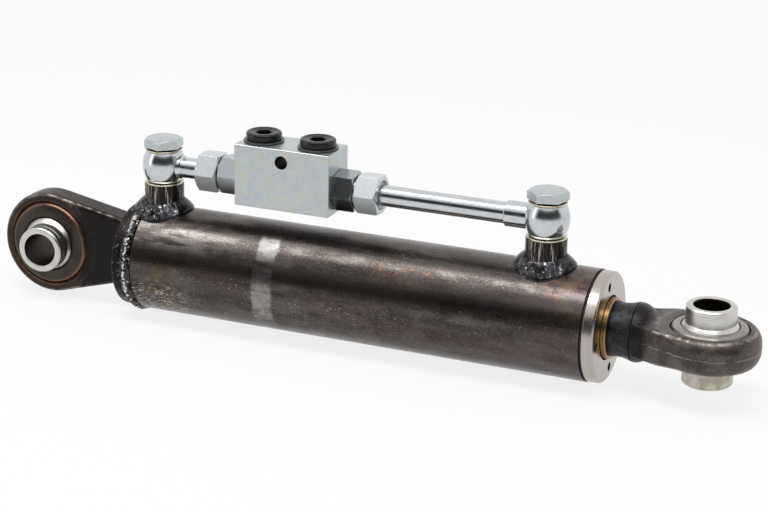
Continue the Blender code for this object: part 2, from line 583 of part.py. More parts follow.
def make_rod(materials, nut_start):
    """The rod, its weld and the rod eye with its race and ball."""
    chamfer = ROD_RADIUS - ROD_WELD_ROOT_RADIUS
    shoulder = PISTON_FRONT_X + SEAT_GAP
    thread_start = nut_start - SEAT_GAP
    outline = [(thread_start, 0), (thread_start, PISTON_THREAD_RADIUS),
               (shoulder, PISTON_THREAD_RADIUS), (shoulder, ROD_RADIUS),
               (ROD_END_X - chamfer, ROD_RADIUS), (ROD_END_X, ROD_WELD_ROOT_RADIUS), (ROD_END_X, 0)]
    make_object("piston_rod", spin(outline, MID_STEPS), materials["chromed_rod"])
    weld = butt_weld_outline(ROD_END_X, ROD_RADIUS, SHANK_FACE_X, ROD_SHANK_RADIUS,
                             ROD_WELD_ROOT_RADIUS, ROD_WELD_CROWN)
    make_object("rod_weld", spin(weld, MID_STEPS), materials["weld_neck"])
    shank_chamfer = ROD_SHANK_RADIUS - ROD_WELD_ROOT_RADIUS
    dome_x = SHANK_FACE_X + shank_chamfer + SEAT_GAP
    root_distance = ROD_EYE_X - dome_x
    plate = eye_plate(ROD_EYE_RADIUS, root_distance, ROD_ARM_HALF_WIDTH, ROD_EYE_HALF,
                      ROD_EDGE_ROUNDING, SMALL_STEPS)
    eye = make_object("rod_eye", plate, materials["forged_eye"], (0, 0, 180), (ROD_EYE_X, 0, 0))
    dome = [(SHANK_FACE_X, 0), (SHANK_FACE_X, ROD_WELD_ROOT_RADIUS),
            (dome_x - SEAT_GAP, ROD_SHANK_RADIUS)]
    for step in range(ROD_DOME_STEPS):
        angle = math.pi / 2 * step / ROD_DOME_STEPS
        dome.append((dome_x + ROD_DOME_LENGTH * math.sin(angle), ROD_SHANK_RADIUS * math.cos(angle)))
    dome.append((dome_x + ROD_DOME_LENGTH, 0))
    apply_tool(eye, "UNION", "shank", spin(dome, MID_STEPS))
    bore = rod_outline(-ROD_EYE_RADIUS, ROD_EYE_RADIUS, ROD_RACE_RADIUS + SEAT_GAP)
    apply_tool(eye, "DIFFERENCE", "race_bore", spin(bore, MID_STEPS), (0, -90, 0), (ROD_EYE_X, 0, 0))
    race = race_outline(ROD_RACE_HALF_WIDTH, ROD_RACE_RADIUS, ROD_EYE_HALF)
    make_object("rod_race", spin(race, MID_STEPS), materials["race_steel"], (0, -90, 0),
                (ROD_EYE_X, 0, 0))
    make_object("rod_ball", spin(ball_outline(), MID_STEPS), materials["ball_steel"], (0, -90, 0),
                (ROD_EYE_X, 0, 0))


def tube_height(offset, radius):
    """Height of the tube's surface, or of one a little above it, at a distance from the axis."""
    return math.sqrt(radius ** 2 - offset ** 2)


def make_port_weld(side, port_x, materials):
    """The fillet round a boss, whose toe follows the tube's round side."""
    inner = BOSS_RADIUS + SEAT_GAP
    toe = PORT_WELD_TOE_RADIUS
    middle = (inner + toe) / 2
    base = TUBE_RADIUS + SEAT_GAP
    sections = []
    for step in range(SMALL_STEPS):
        angle = 2 * math.pi * step / SMALL_STEPS
        section = []
        for radius, lift in ((inner, 0), (middle, 0), (toe, 0), (toe, PORT_WELD_TOE_HEIGHT),
                             (middle, PORT_WELD_MIDDLE_HEIGHT), (inner, PORT_WELD_LEG)):
            x = port_x + radius * math.cos(angle)
            y = radius * math.sin(angle)
            section.append((x, y, tube_height(y, base) + lift))
        sections.append(section)
    make_object(f"port_weld_{side}", loft(sections, closed=True), materials["weld_metal"])


def make_banjo_body(side, port_x, materials):
    """A round banjo eye with its pipe stub, or with the socket that the long pipe enters."""
    half = BANJO_HALF_HEIGHT
    reach = math.sqrt(BANJO_BALL_RADIUS ** 2 - BANJO_NECK_RADIUS ** 2)
    ball = arc_points(BANJO_BALL_RADIUS, -reach, reach, BALL_ARC_STEPS)
    outline = [(-half, 0), (-half, BANJO_NECK_RADIUS)] + ball + [(half, BANJO_NECK_RADIUS), (half, 0)]
    at = (port_x, 0, BANJO_Z)
    body = make_object(f"banjo_body_{side}", spin(outline, SMALL_STEPS), materials["polished_zinc"],
                       (0, -90, 0), at)
    inside = BANJO_BORE_RADIUS + BANJO_OIL_GROOVE / 2
    groove = BANJO_BORE_RADIUS + BANJO_OIL_GROOVE
    if side == "base":
        stub_end = BLOCK_START_X - PIPE_SEAT - SEAT_GAP - port_x
        turn = (0, 0, 0)
        stub = rod_outline(inside, stub_end, PIPE_RADIUS)
        bore = rod_outline(BANJO_BOLT_WAIST, stub_end + SEAT_GAP, PIPE_BORE_RADIUS)
    else:
        stub_end = port_x - SOCKET_END_X
        turn = (0, 0, 180)
        floor = stub_end - SOCKET_DEPTH
        stub = rod_outline(inside, stub_end, SOCKET_RADIUS)
        bore = [(BANJO_BOLT_WAIST, 0), (BANJO_BOLT_WAIST, PIPE_BORE_RADIUS), (floor, PIPE_BORE_RADIUS),
                (floor, PIPE_RADIUS + SEAT_GAP), (stub_end + SEAT_GAP, PIPE_RADIUS + SEAT_GAP),
                (stub_end + SEAT_GAP, 0)]
    apply_tool(body, "UNION", "stub", spin(stub, SMALL_STEPS), turn, at)
    low = -BANJO_GROOVE_HALF_HEIGHT
    high = BANJO_GROOVE_HALF_HEIGHT
    well = [(-2 * half, 0), (-2 * half, BANJO_BORE_RADIUS), (low, BANJO_BORE_RADIUS), (low, groove),
            (high, groove), (high, BANJO_BORE_RADIUS), (2 * half, BANJO_BORE_RADIUS), (2 * half, 0)]
    apply_tool(body, "DIFFERENCE", "bolt_bore", spin(well, TINY_STEPS), (0, -90, 0), at)
    apply_tool(body, "DIFFERENCE", "oil_bore", spin(bore, TINY_STEPS), turn, at)


def make_banjo_bolt(side, port_x, materials):
    """A hollow hex bolt that clamps the banjo eye to the boss."""
    start = BOSS_TOP_Z - BANJO_BOLT_ENGAGEMENT
    low = BANJO_Z - BANJO_GROOVE_HALF_HEIGHT
    high = BANJO_Z + BANJO_GROOVE_HALF_HEIGHT
    top = BOLT_SEAT_Z + BOLT_HEAD_HEIGHT
    at = (port_x, 0, 0)
    head = hexagon(BOLT_SEAT_Z, top, BOLT_HEAD_FLATS)
    bolt = make_object(f"banjo_bolt_{side}", head, materials["zinc_steel"],
                       (0, -90, BOLT_HEAD_TURNS[side]), at)
    limits = chamfered_hex_limits(BOLT_SEAT_Z, top, BOLT_HEAD_FLATS, False, True)
    apply_tool(bolt, "INTERSECT", "corner_cut", spin(limits, SMALL_STEPS), (0, -90, 0), at)
    shank = [(start, 0), (start, BANJO_BOLT_RADIUS), (low, BANJO_BOLT_RADIUS), (low, BANJO_BOLT_WAIST),
             (high, BANJO_BOLT_WAIST), (high, BANJO_BOLT_RADIUS),
             (BOLT_SEAT_Z + SEAT_GAP, BANJO_BOLT_RADIUS), (BOLT_SEAT_Z + SEAT_GAP, 0)]
    apply_tool(bolt, "UNION", "shank", spin(shank, TINY_STEPS), (0, -90, 0), at)
    drill = rod_outline(start - SEAT_GAP, BANJO_Z + BANJO_GROOVE_HALF_HEIGHT, BANJO_DRILL_RADIUS)
    apply_tool(bolt, "DIFFERENCE", "drill", spin(drill, TINY_STEPS), (0, -90, 0), at)
    cross = rod_outline(-BANJO_BOLT_RADIUS * 2, BANJO_BOLT_RADIUS * 2, BANJO_CROSS_DRILL_RADIUS)
    apply_tool(bolt, "DIFFERENCE", "cross_drill", spin(cross, TINY_STEPS), CROSS_DRILL_TURN,
               (port_x, 0, BANJO_Z))


def make_ports(materials):
    """Both oil ports: welded boss, washers, banjo eye and banjo bolt."""
    for side, port_x in PORTS.items():
        foot = tube_height(BOSS_RADIUS, TUBE_RADIUS) / 2
        boss = ring_outline(foot, BOSS_TOP_Z, BANJO_BORE_RADIUS, BOSS_RADIUS)
        boss = make_object(f"port_boss_{side}", spin(boss, SMALL_STEPS), materials["black_boss"],
                           (0, -90, 0), (port_x, 0, 0))
        saddle = rod_outline(port_x - 2 * BOSS_RADIUS, port_x + 2 * BOSS_RADIUS,
                             TUBE_RADIUS + SEAT_GAP)
        apply_tool(boss, "DIFFERENCE", "saddle", spin(saddle, BIG_STEPS))
        make_port_weld(side, port_x, materials)
        make_banjo_body(side, port_x, materials)
        make_banjo_bolt(side, port_x, materials)
        washers = {"lower": (BOSS_TOP_Z + SEAT_GAP, LOWER_WASHER_RADIUS),
                   "upper": (BANJO_TOP_Z + SEAT_GAP, UPPER_WASHER_RADIUS)}
        for level, (bottom, radius) in washers.items():
            outline = ring_outline(bottom, bottom + BANJO_WASHER_THICKNESS, BANJO_BORE_RADIUS, radius)
            make_object(f"{level}_washer_{side}", spin(outline, SMALL_STEPS),
                        materials["soft_washer"], (0, -90, 0), (port_x, 0, 0))


def make_fitting(side, materials):
    """Adapter, union nut and cutting ring on one end of the block, and what they close in."""
    face_x, heading = SIDES[side]
    at = (face_x, 0, BANJO_Z)
    turn = (0, 0, heading)
    thread_end = -ADAPTER_POCKET_DEPTH + SEAT_GAP
    cone_end_radius = PIPE_RADIUS + SEAT_GAP + ADAPTER_CONE_LENGTH * ADAPTER_CONE_SLOPE

    hex_bar = hexagon(SEAT_GAP, SPIGOT_START, ADAPTER_HEX_FLATS)
    adapter = make_object(f"adapter_{side}", hex_bar, materials["zinc_steel"],
                          (ADAPTER_TURNS[side], 0, heading), at)
    stem = [(thread_end, 0), (thread_end, ADAPTER_THREAD_RADIUS),
            (SEAT_GAP * 2, ADAPTER_THREAD_RADIUS), (SEAT_GAP * 2, ADAPTER_SPIGOT_RADIUS),
            (SPIGOT_END, ADAPTER_SPIGOT_RADIUS), (SPIGOT_END, 0)]
    apply_tool(adapter, "UNION", "stem", spin(stem, SMALL_STEPS), turn, at)
    seat_radius = PIPE_RADIUS + SEAT_GAP
    cone_start = SPIGOT_END - ADAPTER_CONE_LENGTH
    bore = [(thread_end - SEAT_GAP, 0), (thread_end - SEAT_GAP, PILOT_BORE_RADIUS),
            (ADAPTER_SPRING_BORE_DEPTH, PILOT_BORE_RADIUS),
            (ADAPTER_SPRING_BORE_DEPTH, ADAPTER_FLOW_RADIUS), (PIPE_SEAT, ADAPTER_FLOW_RADIUS),
            (PIPE_SEAT, seat_radius), (cone_start, seat_radius), (SPIGOT_END, cone_end_radius),
            (SPIGOT_END + SEAT_GAP, cone_end_radius), (SPIGOT_END + SEAT_GAP, 0)]
    apply_tool(adapter, "DIFFERENCE", "bore", spin(bore, SMALL_STEPS), turn, at)

    nut = make_object(f"union_nut_{side}", hexagon(NUT_START, NUT_END, NUT_FLATS),
                      materials["zinc_steel"], (NUT_TURNS[side], 0, heading), at)
    limits = chamfered_hex_limits(NUT_START, NUT_END, NUT_FLATS, False, True)
    apply_tool(nut, "INTERSECT", "corner_cut", spin(limits, SMALL_STEPS), turn, at)
    thread_bore = ADAPTER_SPIGOT_RADIUS + SEAT_GAP
    thread_bottom = NUT_START + NUT_THREAD_LENGTH
    hollow = [(NUT_START - SEAT_GAP, 0), (NUT_START - SEAT_GAP, thread_bore),
              (thread_bottom, thread_bore), (thread_bottom + thread_bore - seat_radius, seat_radius),
              (NUT_END + SEAT_GAP, seat_radius), (NUT_END + SEAT_GAP, 0)]
    apply_tool(nut, "DIFFERENCE", "bore", spin(hollow, SMALL_STEPS), turn, at)

    inner = PIPE_RADIUS + RUNNING_GAP
    ring_start = SPIGOT_END - ADAPTER_CONE_LENGTH / 2
    ring_end = ring_start + CUTTING_RING_LENGTH
    edge = seat_radius + ADAPTER_CONE_LENGTH / 2 * ADAPTER_CONE_SLOPE - SEAT_GAP
    ring = [(ring_start, inner), (ring_start, edge), (SPIGOT_END, cone_end_radius - SEAT_GAP),
            (SPIGOT_END + 2 * SEAT_GAP, CUTTING_RING_RADIUS),
            (ring_end - (CUTTING_RING_RADIUS - edge), CUTTING_RING_RADIUS),
            (ring_end, edge), (ring_end, inner)]
    make_object(f"cutting_ring_{side}", spin(ring, SMALL_STEPS), materials["zinc_steel"], turn, at)


def spring_mesh(start, end):
    """A coil spring along X, one wire section after another."""
    steps = SPRING_TURNS * SPRING_TURN_STEPS
    loops = []
    for step in range(steps + 1):
        angle = 2 * math.pi * step / SPRING_TURN_STEPS
        along = start + SPRING_WIRE_RADIUS + (end - start - 2 * SPRING_WIRE_RADIUS) * step / steps
        loop = []
        for side in range(SPRING_WIRE_STEPS):
            round_wire = 2 * math.pi * side / SPRING_WIRE_STEPS
            radius = SPRING_COIL_RADIUS + SPRING_WIRE_RADIUS * math.cos(round_wire)
            loop.append((along + SPRING_WIRE_RADIUS * math.sin(round_wire),
                         radius * math.cos(angle), radius * math.sin(angle)))
        loops.append(loop)
    return loft(loops)


def make_check_valve(side, materials):
    """Seat, poppet and spring of one check valve; the poppet opens away from the block."""
    face_x, heading = SIDES[side]
    at = (face_x, 0, BANJO_Z)
    turn = (0, 0, heading)
    mouth = VALVE_SEAT_HOLE + VALVE_SEAT_CHAMFER
    seat = [(VALVE_SEAT_BACK, VALVE_SEAT_HOLE), (VALVE_SEAT_BACK, VALVE_SEAT_RADIUS),
            (VALVE_SEAT_FACE, VALVE_SEAT_RADIUS), (VALVE_SEAT_FACE, mouth),
            (VALVE_SEAT_FACE - VALVE_SEAT_CHAMFER, VALVE_SEAT_HOLE)]
    make_object(f"valve_seat_{side}", spin(seat, TINY_STEPS), materials["hard_steel"], turn, at)
    radius = PILOT_BORE_RADIUS - SEAT_GAP
    nose = VALVE_SEAT_FACE - POPPET_NOSE
    nose_radius = mouth - CHAMFER_SHIFT - POPPET_NOSE
    rear = nose + POPPET_LENGTH
    floor = rear - POPPET_POCKET_DEPTH
    poppet = [(nose, 0), (nose, nose_radius), (nose + radius - nose_radius, radius), (rear, radius),
              (rear, POPPET_POCKET_RADIUS), (floor, POPPET_POCKET_RADIUS), (floor, 0)]
    make_object(f"check_poppet_{side}", spin(poppet, TINY_STEPS), materials["hard_steel"], turn, at)
    spring = spring_mesh(floor + RUNNING_GAP, ADAPTER_SPRING_BORE_DEPTH - RUNNING_GAP)
    make_object(f"poppet_spring_{side}", spring, materials["spring_steel"], turn, at)


def make_block(materials):
    """The drilled valve block with its pilot piston."""
    mesh = bmesh.new()
    bmesh.ops.create_cube(mesh, size=1)
    bmesh.ops.scale(mesh, vec=(BLOCK_LENGTH, 2 * BLOCK_HALF_WIDTH, BLOCK_HEIGHT), verts=mesh.verts)
    bmesh.ops.bevel(mesh, geom=mesh.edges, offset=BLOCK_CHAMFER, segments=1, affect="EDGES")
    centre = (BLOCK_CENTRE_X, 0, BLOCK_BOTTOM_Z + BLOCK_HEIGHT / 2)
    block = make_object("valve_block", mesh, materials["zinc_block"], (0, 0, 0), centre)
    pocket = ADAPTER_THREAD_RADIUS + SEAT_GAP
    seat = VALVE_SEAT_RADIUS + SEAT_GAP
    half = BLOCK_LENGTH / 2
    step = half - ADAPTER_POCKET_DEPTH
    deep = step - SEAT_POCKET_DEPTH
    gallery = [(-half - SEAT_GAP, 0), (-half - SEAT_GAP, pocket), (-step, pocket), (-step, seat),
               (-deep, seat), (-deep, PILOT_BORE_RADIUS), (deep, PILOT_BORE_RADIUS), (deep, seat),
               (step, seat), (step, pocket), (half + SEAT_GAP, pocket), (half + SEAT_GAP, 0)]
    apply_tool(block, "DIFFERENCE", "gallery", spin(gallery, SMALL_STEPS), (0, 0, 0),
               (BLOCK_CENTRE_X, 0, BANJO_Z))
    for side, sign in (("base", -1), ("rod", 1)):
        floor = -HOSE_PORT_DEPTH
        port = [(BANJO_Z - BLOCK_TOP_Z, 0), (BANJO_Z - BLOCK_TOP_Z, HOSE_PORT_DRILL),
                (floor, HOSE_PORT_DRILL), (floor, HOSE_PORT_RADIUS), (SEAT_GAP, HOSE_PORT_RADIUS),
                (SEAT_GAP, 0)]
        apply_tool(block, "DIFFERENCE", f"{side}_port", spin(port, SMALL_STEPS), (0, -90, 0),
                   (BLOCK_CENTRE_X + sign * HOSE_PORT_SPACING / 2, 0, BLOCK_TOP_Z))
    hole = rod_outline(-2 * BLOCK_HALF_WIDTH, 2 * BLOCK_HALF_WIDTH, BLOCK_HOLE_RADIUS)
    apply_tool(block, "DIFFERENCE", "mounting_hole", spin(hole, TINY_STEPS), (0, 0, 90),
               (BLOCK_CENTRE_X, 0, BLOCK_TOP_Z - BLOCK_HOLE_DROP))
    reach = half + VALVE_SEAT_FACE - POPPET_NOSE - SEAT_GAP - PILOT_TRAVEL
    end = PILOT_HALF_LENGTH
    radius = PILOT_BORE_RADIUS - SEAT_GAP
    pilot = [(-reach, 0), (-reach, PILOT_STEM_RADIUS), (-end, PILOT_STEM_RADIUS), (-end, radius),
             (end, radius), (end, PILOT_STEM_RADIUS), (reach, PILOT_STEM_RADIUS), (reach, 0)]
    make_object("pilot_piston", spin(pilot, TINY_STEPS), materials["hard_steel"], (0, 0, 0),
                (BLOCK_CENTRE_X, 0, BANJO_Z))


def make_hose_port_plugs(materials):
    """A hex-socket plug on a thin seal in each hose port."""
    for side, sign in (("base", -1), ("rod", 1)):
        at = (BLOCK_CENTRE_X + sign * HOSE_PORT_SPACING / 2, 0, BLOCK_TOP_Z)
        shank = HOSE_PORT_RADIUS - SEAT_GAP
        under = PLUG_SEAL_THICKNESS + 2 * SEAT_GAP
        top = under + PLUG_HEAD_HEIGHT
        edge = PLUG_HEAD_ROUND
        outline = [(-PLUG_SHANK_LENGTH, 0), (-PLUG_SHANK_LENGTH, shank), (under, shank),
                   (under, PLUG_HEAD_RADIUS - edge / 2), (under + edge / 2, PLUG_HEAD_RADIUS),
                   (top - edge, PLUG_HEAD_RADIUS), (top - edge / 3, PLUG_HEAD_RADIUS - edge / 3),
                   (top, PLUG_HEAD_RADIUS - edge), (top, 0)]
        plug = make_object(f"port_plug_{side}", spin(outline, SMALL_STEPS),
                           materials["plug_plastic"], (0, -90, 0), at)
        socket = hexagon(top - PLUG_SOCKET_DEPTH, top + SEAT_GAP, PLUG_SOCKET_FLATS)
        apply_tool(plug, "DIFFERENCE", "socket", socket, (0, -90, 0), at)
        seal = ring_outline(SEAT_GAP, SEAT_GAP + PLUG_SEAL_THICKNESS, HOSE_PORT_RADIUS,
                            PLUG_SEAL_RADIUS)
        make_object(f"plug_seal_{side}", spin(seal, SMALL_STEPS), materials["seal_washer"],
                    (0, -90, 0), at)


def make_pipe(materials):
    """The long oil pipe from the block's rod-side fitting to the socket of the rod banjo."""
    start = BLOCK_END_X + PIPE_SEAT + SEAT_GAP
    end = SOCKET_END_X + SOCKET_DEPTH - SEAT_GAP
    outline = ring_outline(start, end, PIPE_BORE_RADIUS, PIPE_RADIUS)
    make_object("oil_pipe", spin(outline, SMALL_STEPS), materials["polished_zinc"], (0, 0, 0),
                (0, 0, BANJO_Z))


def make_materials():
    """Every finish of the link, from colour, metallic and roughness."""
    finishes = {
        "raw_tube": ((0.20, 0.17, 0.15), 0.9, 0.42),
        "forged_base": ((0.07, 0.055, 0.05), 0.7, 0.5),
        "forged_eye": ((0.16, 0.13, 0.12), 0.8, 0.5),
        "bearing_ring": ((0.16, 0.12, 0.10), 0.8, 0.45),
        "race_steel": ((0.38, 0.37, 0.36), 0.9, 0.4),
        "ball_steel": ((0.72, 0.71, 0.68), 1.0, 0.25),
        "weld_metal": ((0.15, 0.14, 0.14), 0.9, 0.35),
        "weld_neck": ((0.03, 0.03, 0.033), 0.6, 0.45),
        "turned_steel": ((0.55, 0.52, 0.50), 1.0, 0.3),
        "chromed_rod": ((0.75, 0.75, 0.76), 1.0, 0.12),
        "wiper_bronze": ((0.55, 0.38, 0.20), 0.9, 0.35),
        "black_boss": ((0.035, 0.03, 0.03), 0.8, 0.35),
        "soft_washer": ((0.75, 0.70, 0.55), 0.8, 0.35),
        "polished_zinc": ((0.62, 0.64, 0.66), 1.0, 0.2),
        "zinc_steel": ((0.60, 0.63, 0.65), 1.0, 0.32),
        "zinc_block": ((0.58, 0.62, 0.65), 0.9, 0.4),
        "hard_steel": ((0.45, 0.45, 0.46), 1.0, 0.25),
        "spring_steel": ((0.40, 0.40, 0.42), 1.0, 0.3),
        "black_rubber": ((0.02, 0.02, 0.02), 0.0, 0.6),
        "seal_plastic": ((0.10, 0.16, 0.35), 0.0, 0.4),
        "guide_plastic": ((0.60, 0.45, 0.25), 0.0, 0.5),
        "plug_plastic": ((0.015, 0.015, 0.016), 0.0, 0.25),
        "seal_washer": ((0.03, 0.06, 0.05), 0.2, 0.4),
    }
    return {name: finish(name, *values) for name, values in finishes.items()}


def main():
    for leftover in list(bpy.data.objects):
        bpy.data.objects.remove(leftover, do_unlink=True)
    materials = make_materials()
    make_tube(materials)
    make_base_end(materials)
    make_gland(materials)
    nut_start = make_piston(materials)
    make_rod(materials, nut_start)
    make_ports(materials)
    for side in SIDES:
        make_fitting(side, materials)
        make_check_valve(side, materials)
    make_block(materials)
    make_hose_port_plugs(materials)
    make_pipe(materials)


main()
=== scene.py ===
"""Looks of the hydraulic top link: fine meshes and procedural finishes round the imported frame.

Lengths are in metres in the frame's own axes: +X to the rod eye, +Z to the oil ports.
"""
import json
import math

import bmesh
import bpy
from mathutils import Euler, Matrix, Vector, noise


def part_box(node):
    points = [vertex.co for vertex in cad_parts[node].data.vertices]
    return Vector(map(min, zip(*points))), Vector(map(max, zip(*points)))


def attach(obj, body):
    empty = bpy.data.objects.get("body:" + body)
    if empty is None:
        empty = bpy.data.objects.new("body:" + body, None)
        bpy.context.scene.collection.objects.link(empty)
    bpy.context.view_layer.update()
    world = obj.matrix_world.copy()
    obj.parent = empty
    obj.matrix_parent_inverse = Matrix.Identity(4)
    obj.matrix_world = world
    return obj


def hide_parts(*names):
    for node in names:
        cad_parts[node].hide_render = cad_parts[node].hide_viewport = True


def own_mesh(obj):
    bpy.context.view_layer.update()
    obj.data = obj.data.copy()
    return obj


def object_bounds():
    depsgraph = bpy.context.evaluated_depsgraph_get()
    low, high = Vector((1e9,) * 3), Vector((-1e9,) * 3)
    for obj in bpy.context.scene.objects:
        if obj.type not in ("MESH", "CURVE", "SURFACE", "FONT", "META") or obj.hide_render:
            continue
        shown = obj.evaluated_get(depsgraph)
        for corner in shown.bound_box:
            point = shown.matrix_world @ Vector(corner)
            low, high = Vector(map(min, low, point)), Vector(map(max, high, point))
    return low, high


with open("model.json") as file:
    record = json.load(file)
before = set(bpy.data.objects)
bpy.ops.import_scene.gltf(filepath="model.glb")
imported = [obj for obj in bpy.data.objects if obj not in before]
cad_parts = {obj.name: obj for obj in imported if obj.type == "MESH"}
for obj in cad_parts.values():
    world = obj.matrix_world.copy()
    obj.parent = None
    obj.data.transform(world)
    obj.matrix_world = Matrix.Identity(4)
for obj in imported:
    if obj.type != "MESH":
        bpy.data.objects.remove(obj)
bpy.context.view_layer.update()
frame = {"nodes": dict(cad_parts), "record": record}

SLOTS = {part["node"]: part["material_slot"] for part in frame["record"]["subparts"]}
GROUPS = frame["record"]["behaviour"]["bodies"]
BODIES = {node: body for body, nodes in GROUPS.items() for node in nodes}

# Camera, fitted to the photo's edges; the photo is taken as 768 by 512 pixels
PHOTO_WIDTH = 768
PHOTO_HEIGHT = 512
SENSOR_WIDTH = 36
VIEW_YAW = 23.93
VIEW_PITCH = 18.61
VIEW_ROLL = 0.52
VIEW_DISTANCE = 1.22723
VIEW_TARGET = Vector((0.1825, 0, 0.02765))
VIEW_FOCAL_PIXELS = 2179.54
VIEW_AXIS_PIXEL = (334.32, 237.26)

# Fineness
BIG_STEPS = 160
MID_STEPS = 112
SMALL_STEPS = 72
EDGE_SOFT = 0.0003
ROUND_STEPS = 3
STRAIGHT = math.radians(160)
CUT_SHARE = 0.4
SHARP_ANGLE = math.radians(38)

# Sizes that the CAD boxes don't tell
SEAT_GAP = 0.0003
BORE_RADIUS = 0.025
PIN_BORE_RADIUS = 0.00965
BALL_RADIUS = 0.0185
BALL_CLEARANCE = 0.0003
COLLAR_RADIUS = 0.0136
COLLAR_CHAMFER = 0.0009
COLLAR_GROOVE_PLACE = 0.0045
COLLAR_GROOVE_DEPTH = 0.0003
BASE_PLATE_HALF = 0.008
BASE_ROOT_HALF_HEIGHT = 0.0178
BASE_PLATE_TILT = 2.6
BASE_BALL_TURN = 4.8
BASE_EDGE = (0.0030, 0.66, 1.0)
RACE_CHAMFER = 0.0013
RACE_CROWN = 0.0005
CAP_FACE_X = 0.0545
CAP_THICKNESS = 0.0085
CAP_RADIUS = 0.0302
CAP_ROOT_FILLET = 0.0065
ROD_RADIUS = 0.015
ROD_EYE_HALF = 0.0097
ROD_ARM_HALF_WIDTH = 0.0137
ROD_SHANK_RADIUS = 0.0164
ROD_DOME_LENGTH = 0.0124
ROD_EYE_EDGE = (0.005, 0.25, 1.2)
ROD_ARM_EDGE = (0.0016, 0.84, 1.0)
ARM_BLEND = (0.010, 0.024)
ARM_STEPS = 16
BANJO_NECK_RADIUS = 0.0098
BANJO_STEPS = 28
BANJO_BORE_RADIUS = 0.007
PIN_HOLE_RADIUS = 0.0025
PIPE_BORE_RADIUS = 0.004
ADAPTER_HEX_END = 0.0125
ADAPTER_FLATS = 0.0205
NUT_FLATS = 0.021
NUT_START_INSET = 0.0008
NUT_END_INSET = 0.0012
BLOCK_HOLE_RADIUS = 0.0037
BLOCK_HOLE_HEIGHT = 0.01045
BOLT_UNDERCUT = 0.0006
BOLT_COLLAR_RADIUS = 0.0087
PLASTIC_SPECULAR = 0.3
SPRING_WIRE_RADIUS = 0.00035
SPRING_TURNS = 4
SPRING_TURN_STEPS = 24
SPRING_WIRE_STEPS = 10
PORT_WELD_SEEDS = {"base": 0.3, "rod": 0.72}

# Studio
FLAG_DIRECTION = (0.406, -0.914, 0)
FLAG_DEPTH = 0.96
STUDIO_FILL = 0.58
FLOOR_GLOW_SHARE = 0.82


def smooth_step(value, start, end):
    """0 before start, 1 after end, and a soft rise between them."""
    share = min(1, max(0, (value - start) / (end - start)))
    return share * share * (3 - 2 * share)


# Finishes

class Paint:
    """A material's nodes, written in short calls; places are in the piece's own metres."""

    def __init__(self, name, axis="X"):
        self.material = bpy.data.materials.new(name)
        self.material.use_nodes = True
        self.tree = self.material.node_tree
        self.shader = self.tree.nodes["Principled BSDF"]
        self.place = self.node("ShaderNodeTexCoord").outputs["Object"]
        split = self.node("ShaderNodeSeparateXYZ", {0: self.place})
        names = {"X": (0, 1, 2), "Y": (1, 2, 0), "Z": (2, 0, 1)}[axis]
        self.along, across, up = [split.outputs[number] for number in names]
        self.across = across
        self.up = up
        squares = self.math("ADD", self.math("MULTIPLY", across, across), self.math("MULTIPLY", up, up))
        self.radius = self.math("SQRT", squares)

    def node(self, kind, inputs=None, **settings):
        made = self.tree.nodes.new(kind)
        for key, value in settings.items():
            setattr(made, key, value)
        for key, value in (inputs or {}).items():
            if isinstance(value, bpy.types.NodeSocket):
                self.tree.links.new(value, made.inputs[key])
            else:
                made.inputs[key].default_value = value
        return made

    def math(self, operation, first, second=0.0):
        return self.node("ShaderNodeMath", {0: first, 1: second}, operation=operation).outputs[0]

    def noise(self, size, stretch=(1, 1, 1), detail=4, rough=0.55, shift=0.0):
        """Noise whose blobs are about size metres across, drawn out by the stretch factors."""
        scale = [1 / factor for factor in stretch]
        mapped = self.node("ShaderNodeMapping", {"Vector": self.place, "Scale": scale,
                                                 "Location": (shift, shift, shift)})
        return self.node("ShaderNodeTexNoise", {"Vector": mapped.outputs[0], "Scale": 1 / size,
                                                "Detail": detail, "Roughness": rough}).outputs[0]

    def rings(self, size, detail=3):
        """Noise that only changes with radius and place along the axis, as turning marks do."""
        place = self.node("ShaderNodeCombineXYZ", {0: self.along, 1: self.radius})
        return self.node("ShaderNodeTexNoise", {"Vector": place.outputs[0], "Scale": 1 / size,
                                                "Detail": detail}).outputs[0]

    def rise(self, value, start, end, low=0.0, high=1.0):
        """A soft step from low at start to high at end."""
        inputs = {"Value": value, "From Min": start, "From Max": end, "To Min": low, "To Max": high}
        return self.node("ShaderNodeMapRange", inputs, interpolation_type="SMOOTHSTEP").outputs[0]

    def near(self, value, place, full, none):
        """1 within full of a place, and 0 further than none from it."""
        return self.rise(self.math("ABSOLUTE", self.math("SUBTRACT", value, place)), none, full)

    def mix(self, share, first, second):
        colours = {6: first, 7: second}
        inputs = {key: value if isinstance(value, bpy.types.NodeSocket) else (*value, 1)
                  for key, value in colours.items()}
        return self.node("ShaderNodeMix", {0: share, **inputs}, data_type="RGBA").outputs[2]

    def bump(self, height, depth, under=None):
        """Surface normals of a height pattern whose 0 to 1 range is depth metres."""
        inputs = {"Height": height, "Distance": depth, "Strength": 1.0}
        if under:
            inputs["Normal"] = under
        return self.node("ShaderNodeBump", inputs).outputs[0]

    def done(self, colour, metallic, roughness, normal=None, **fixed):
        values = {"Base Color": colour, "Metallic": metallic, "Roughness": roughness, "Normal": normal}
        for key, value in {**values, **fixed}.items():
            key = key.replace("_", " ")
            if isinstance(value, bpy.types.NodeSocket):
                self.tree.links.new(value, self.shader.inputs[key])
            elif value is not None:
                if key == "Base Color":
                    value = (*value, 1)
                self.shader.inputs[key].default_value = value
        return self.material


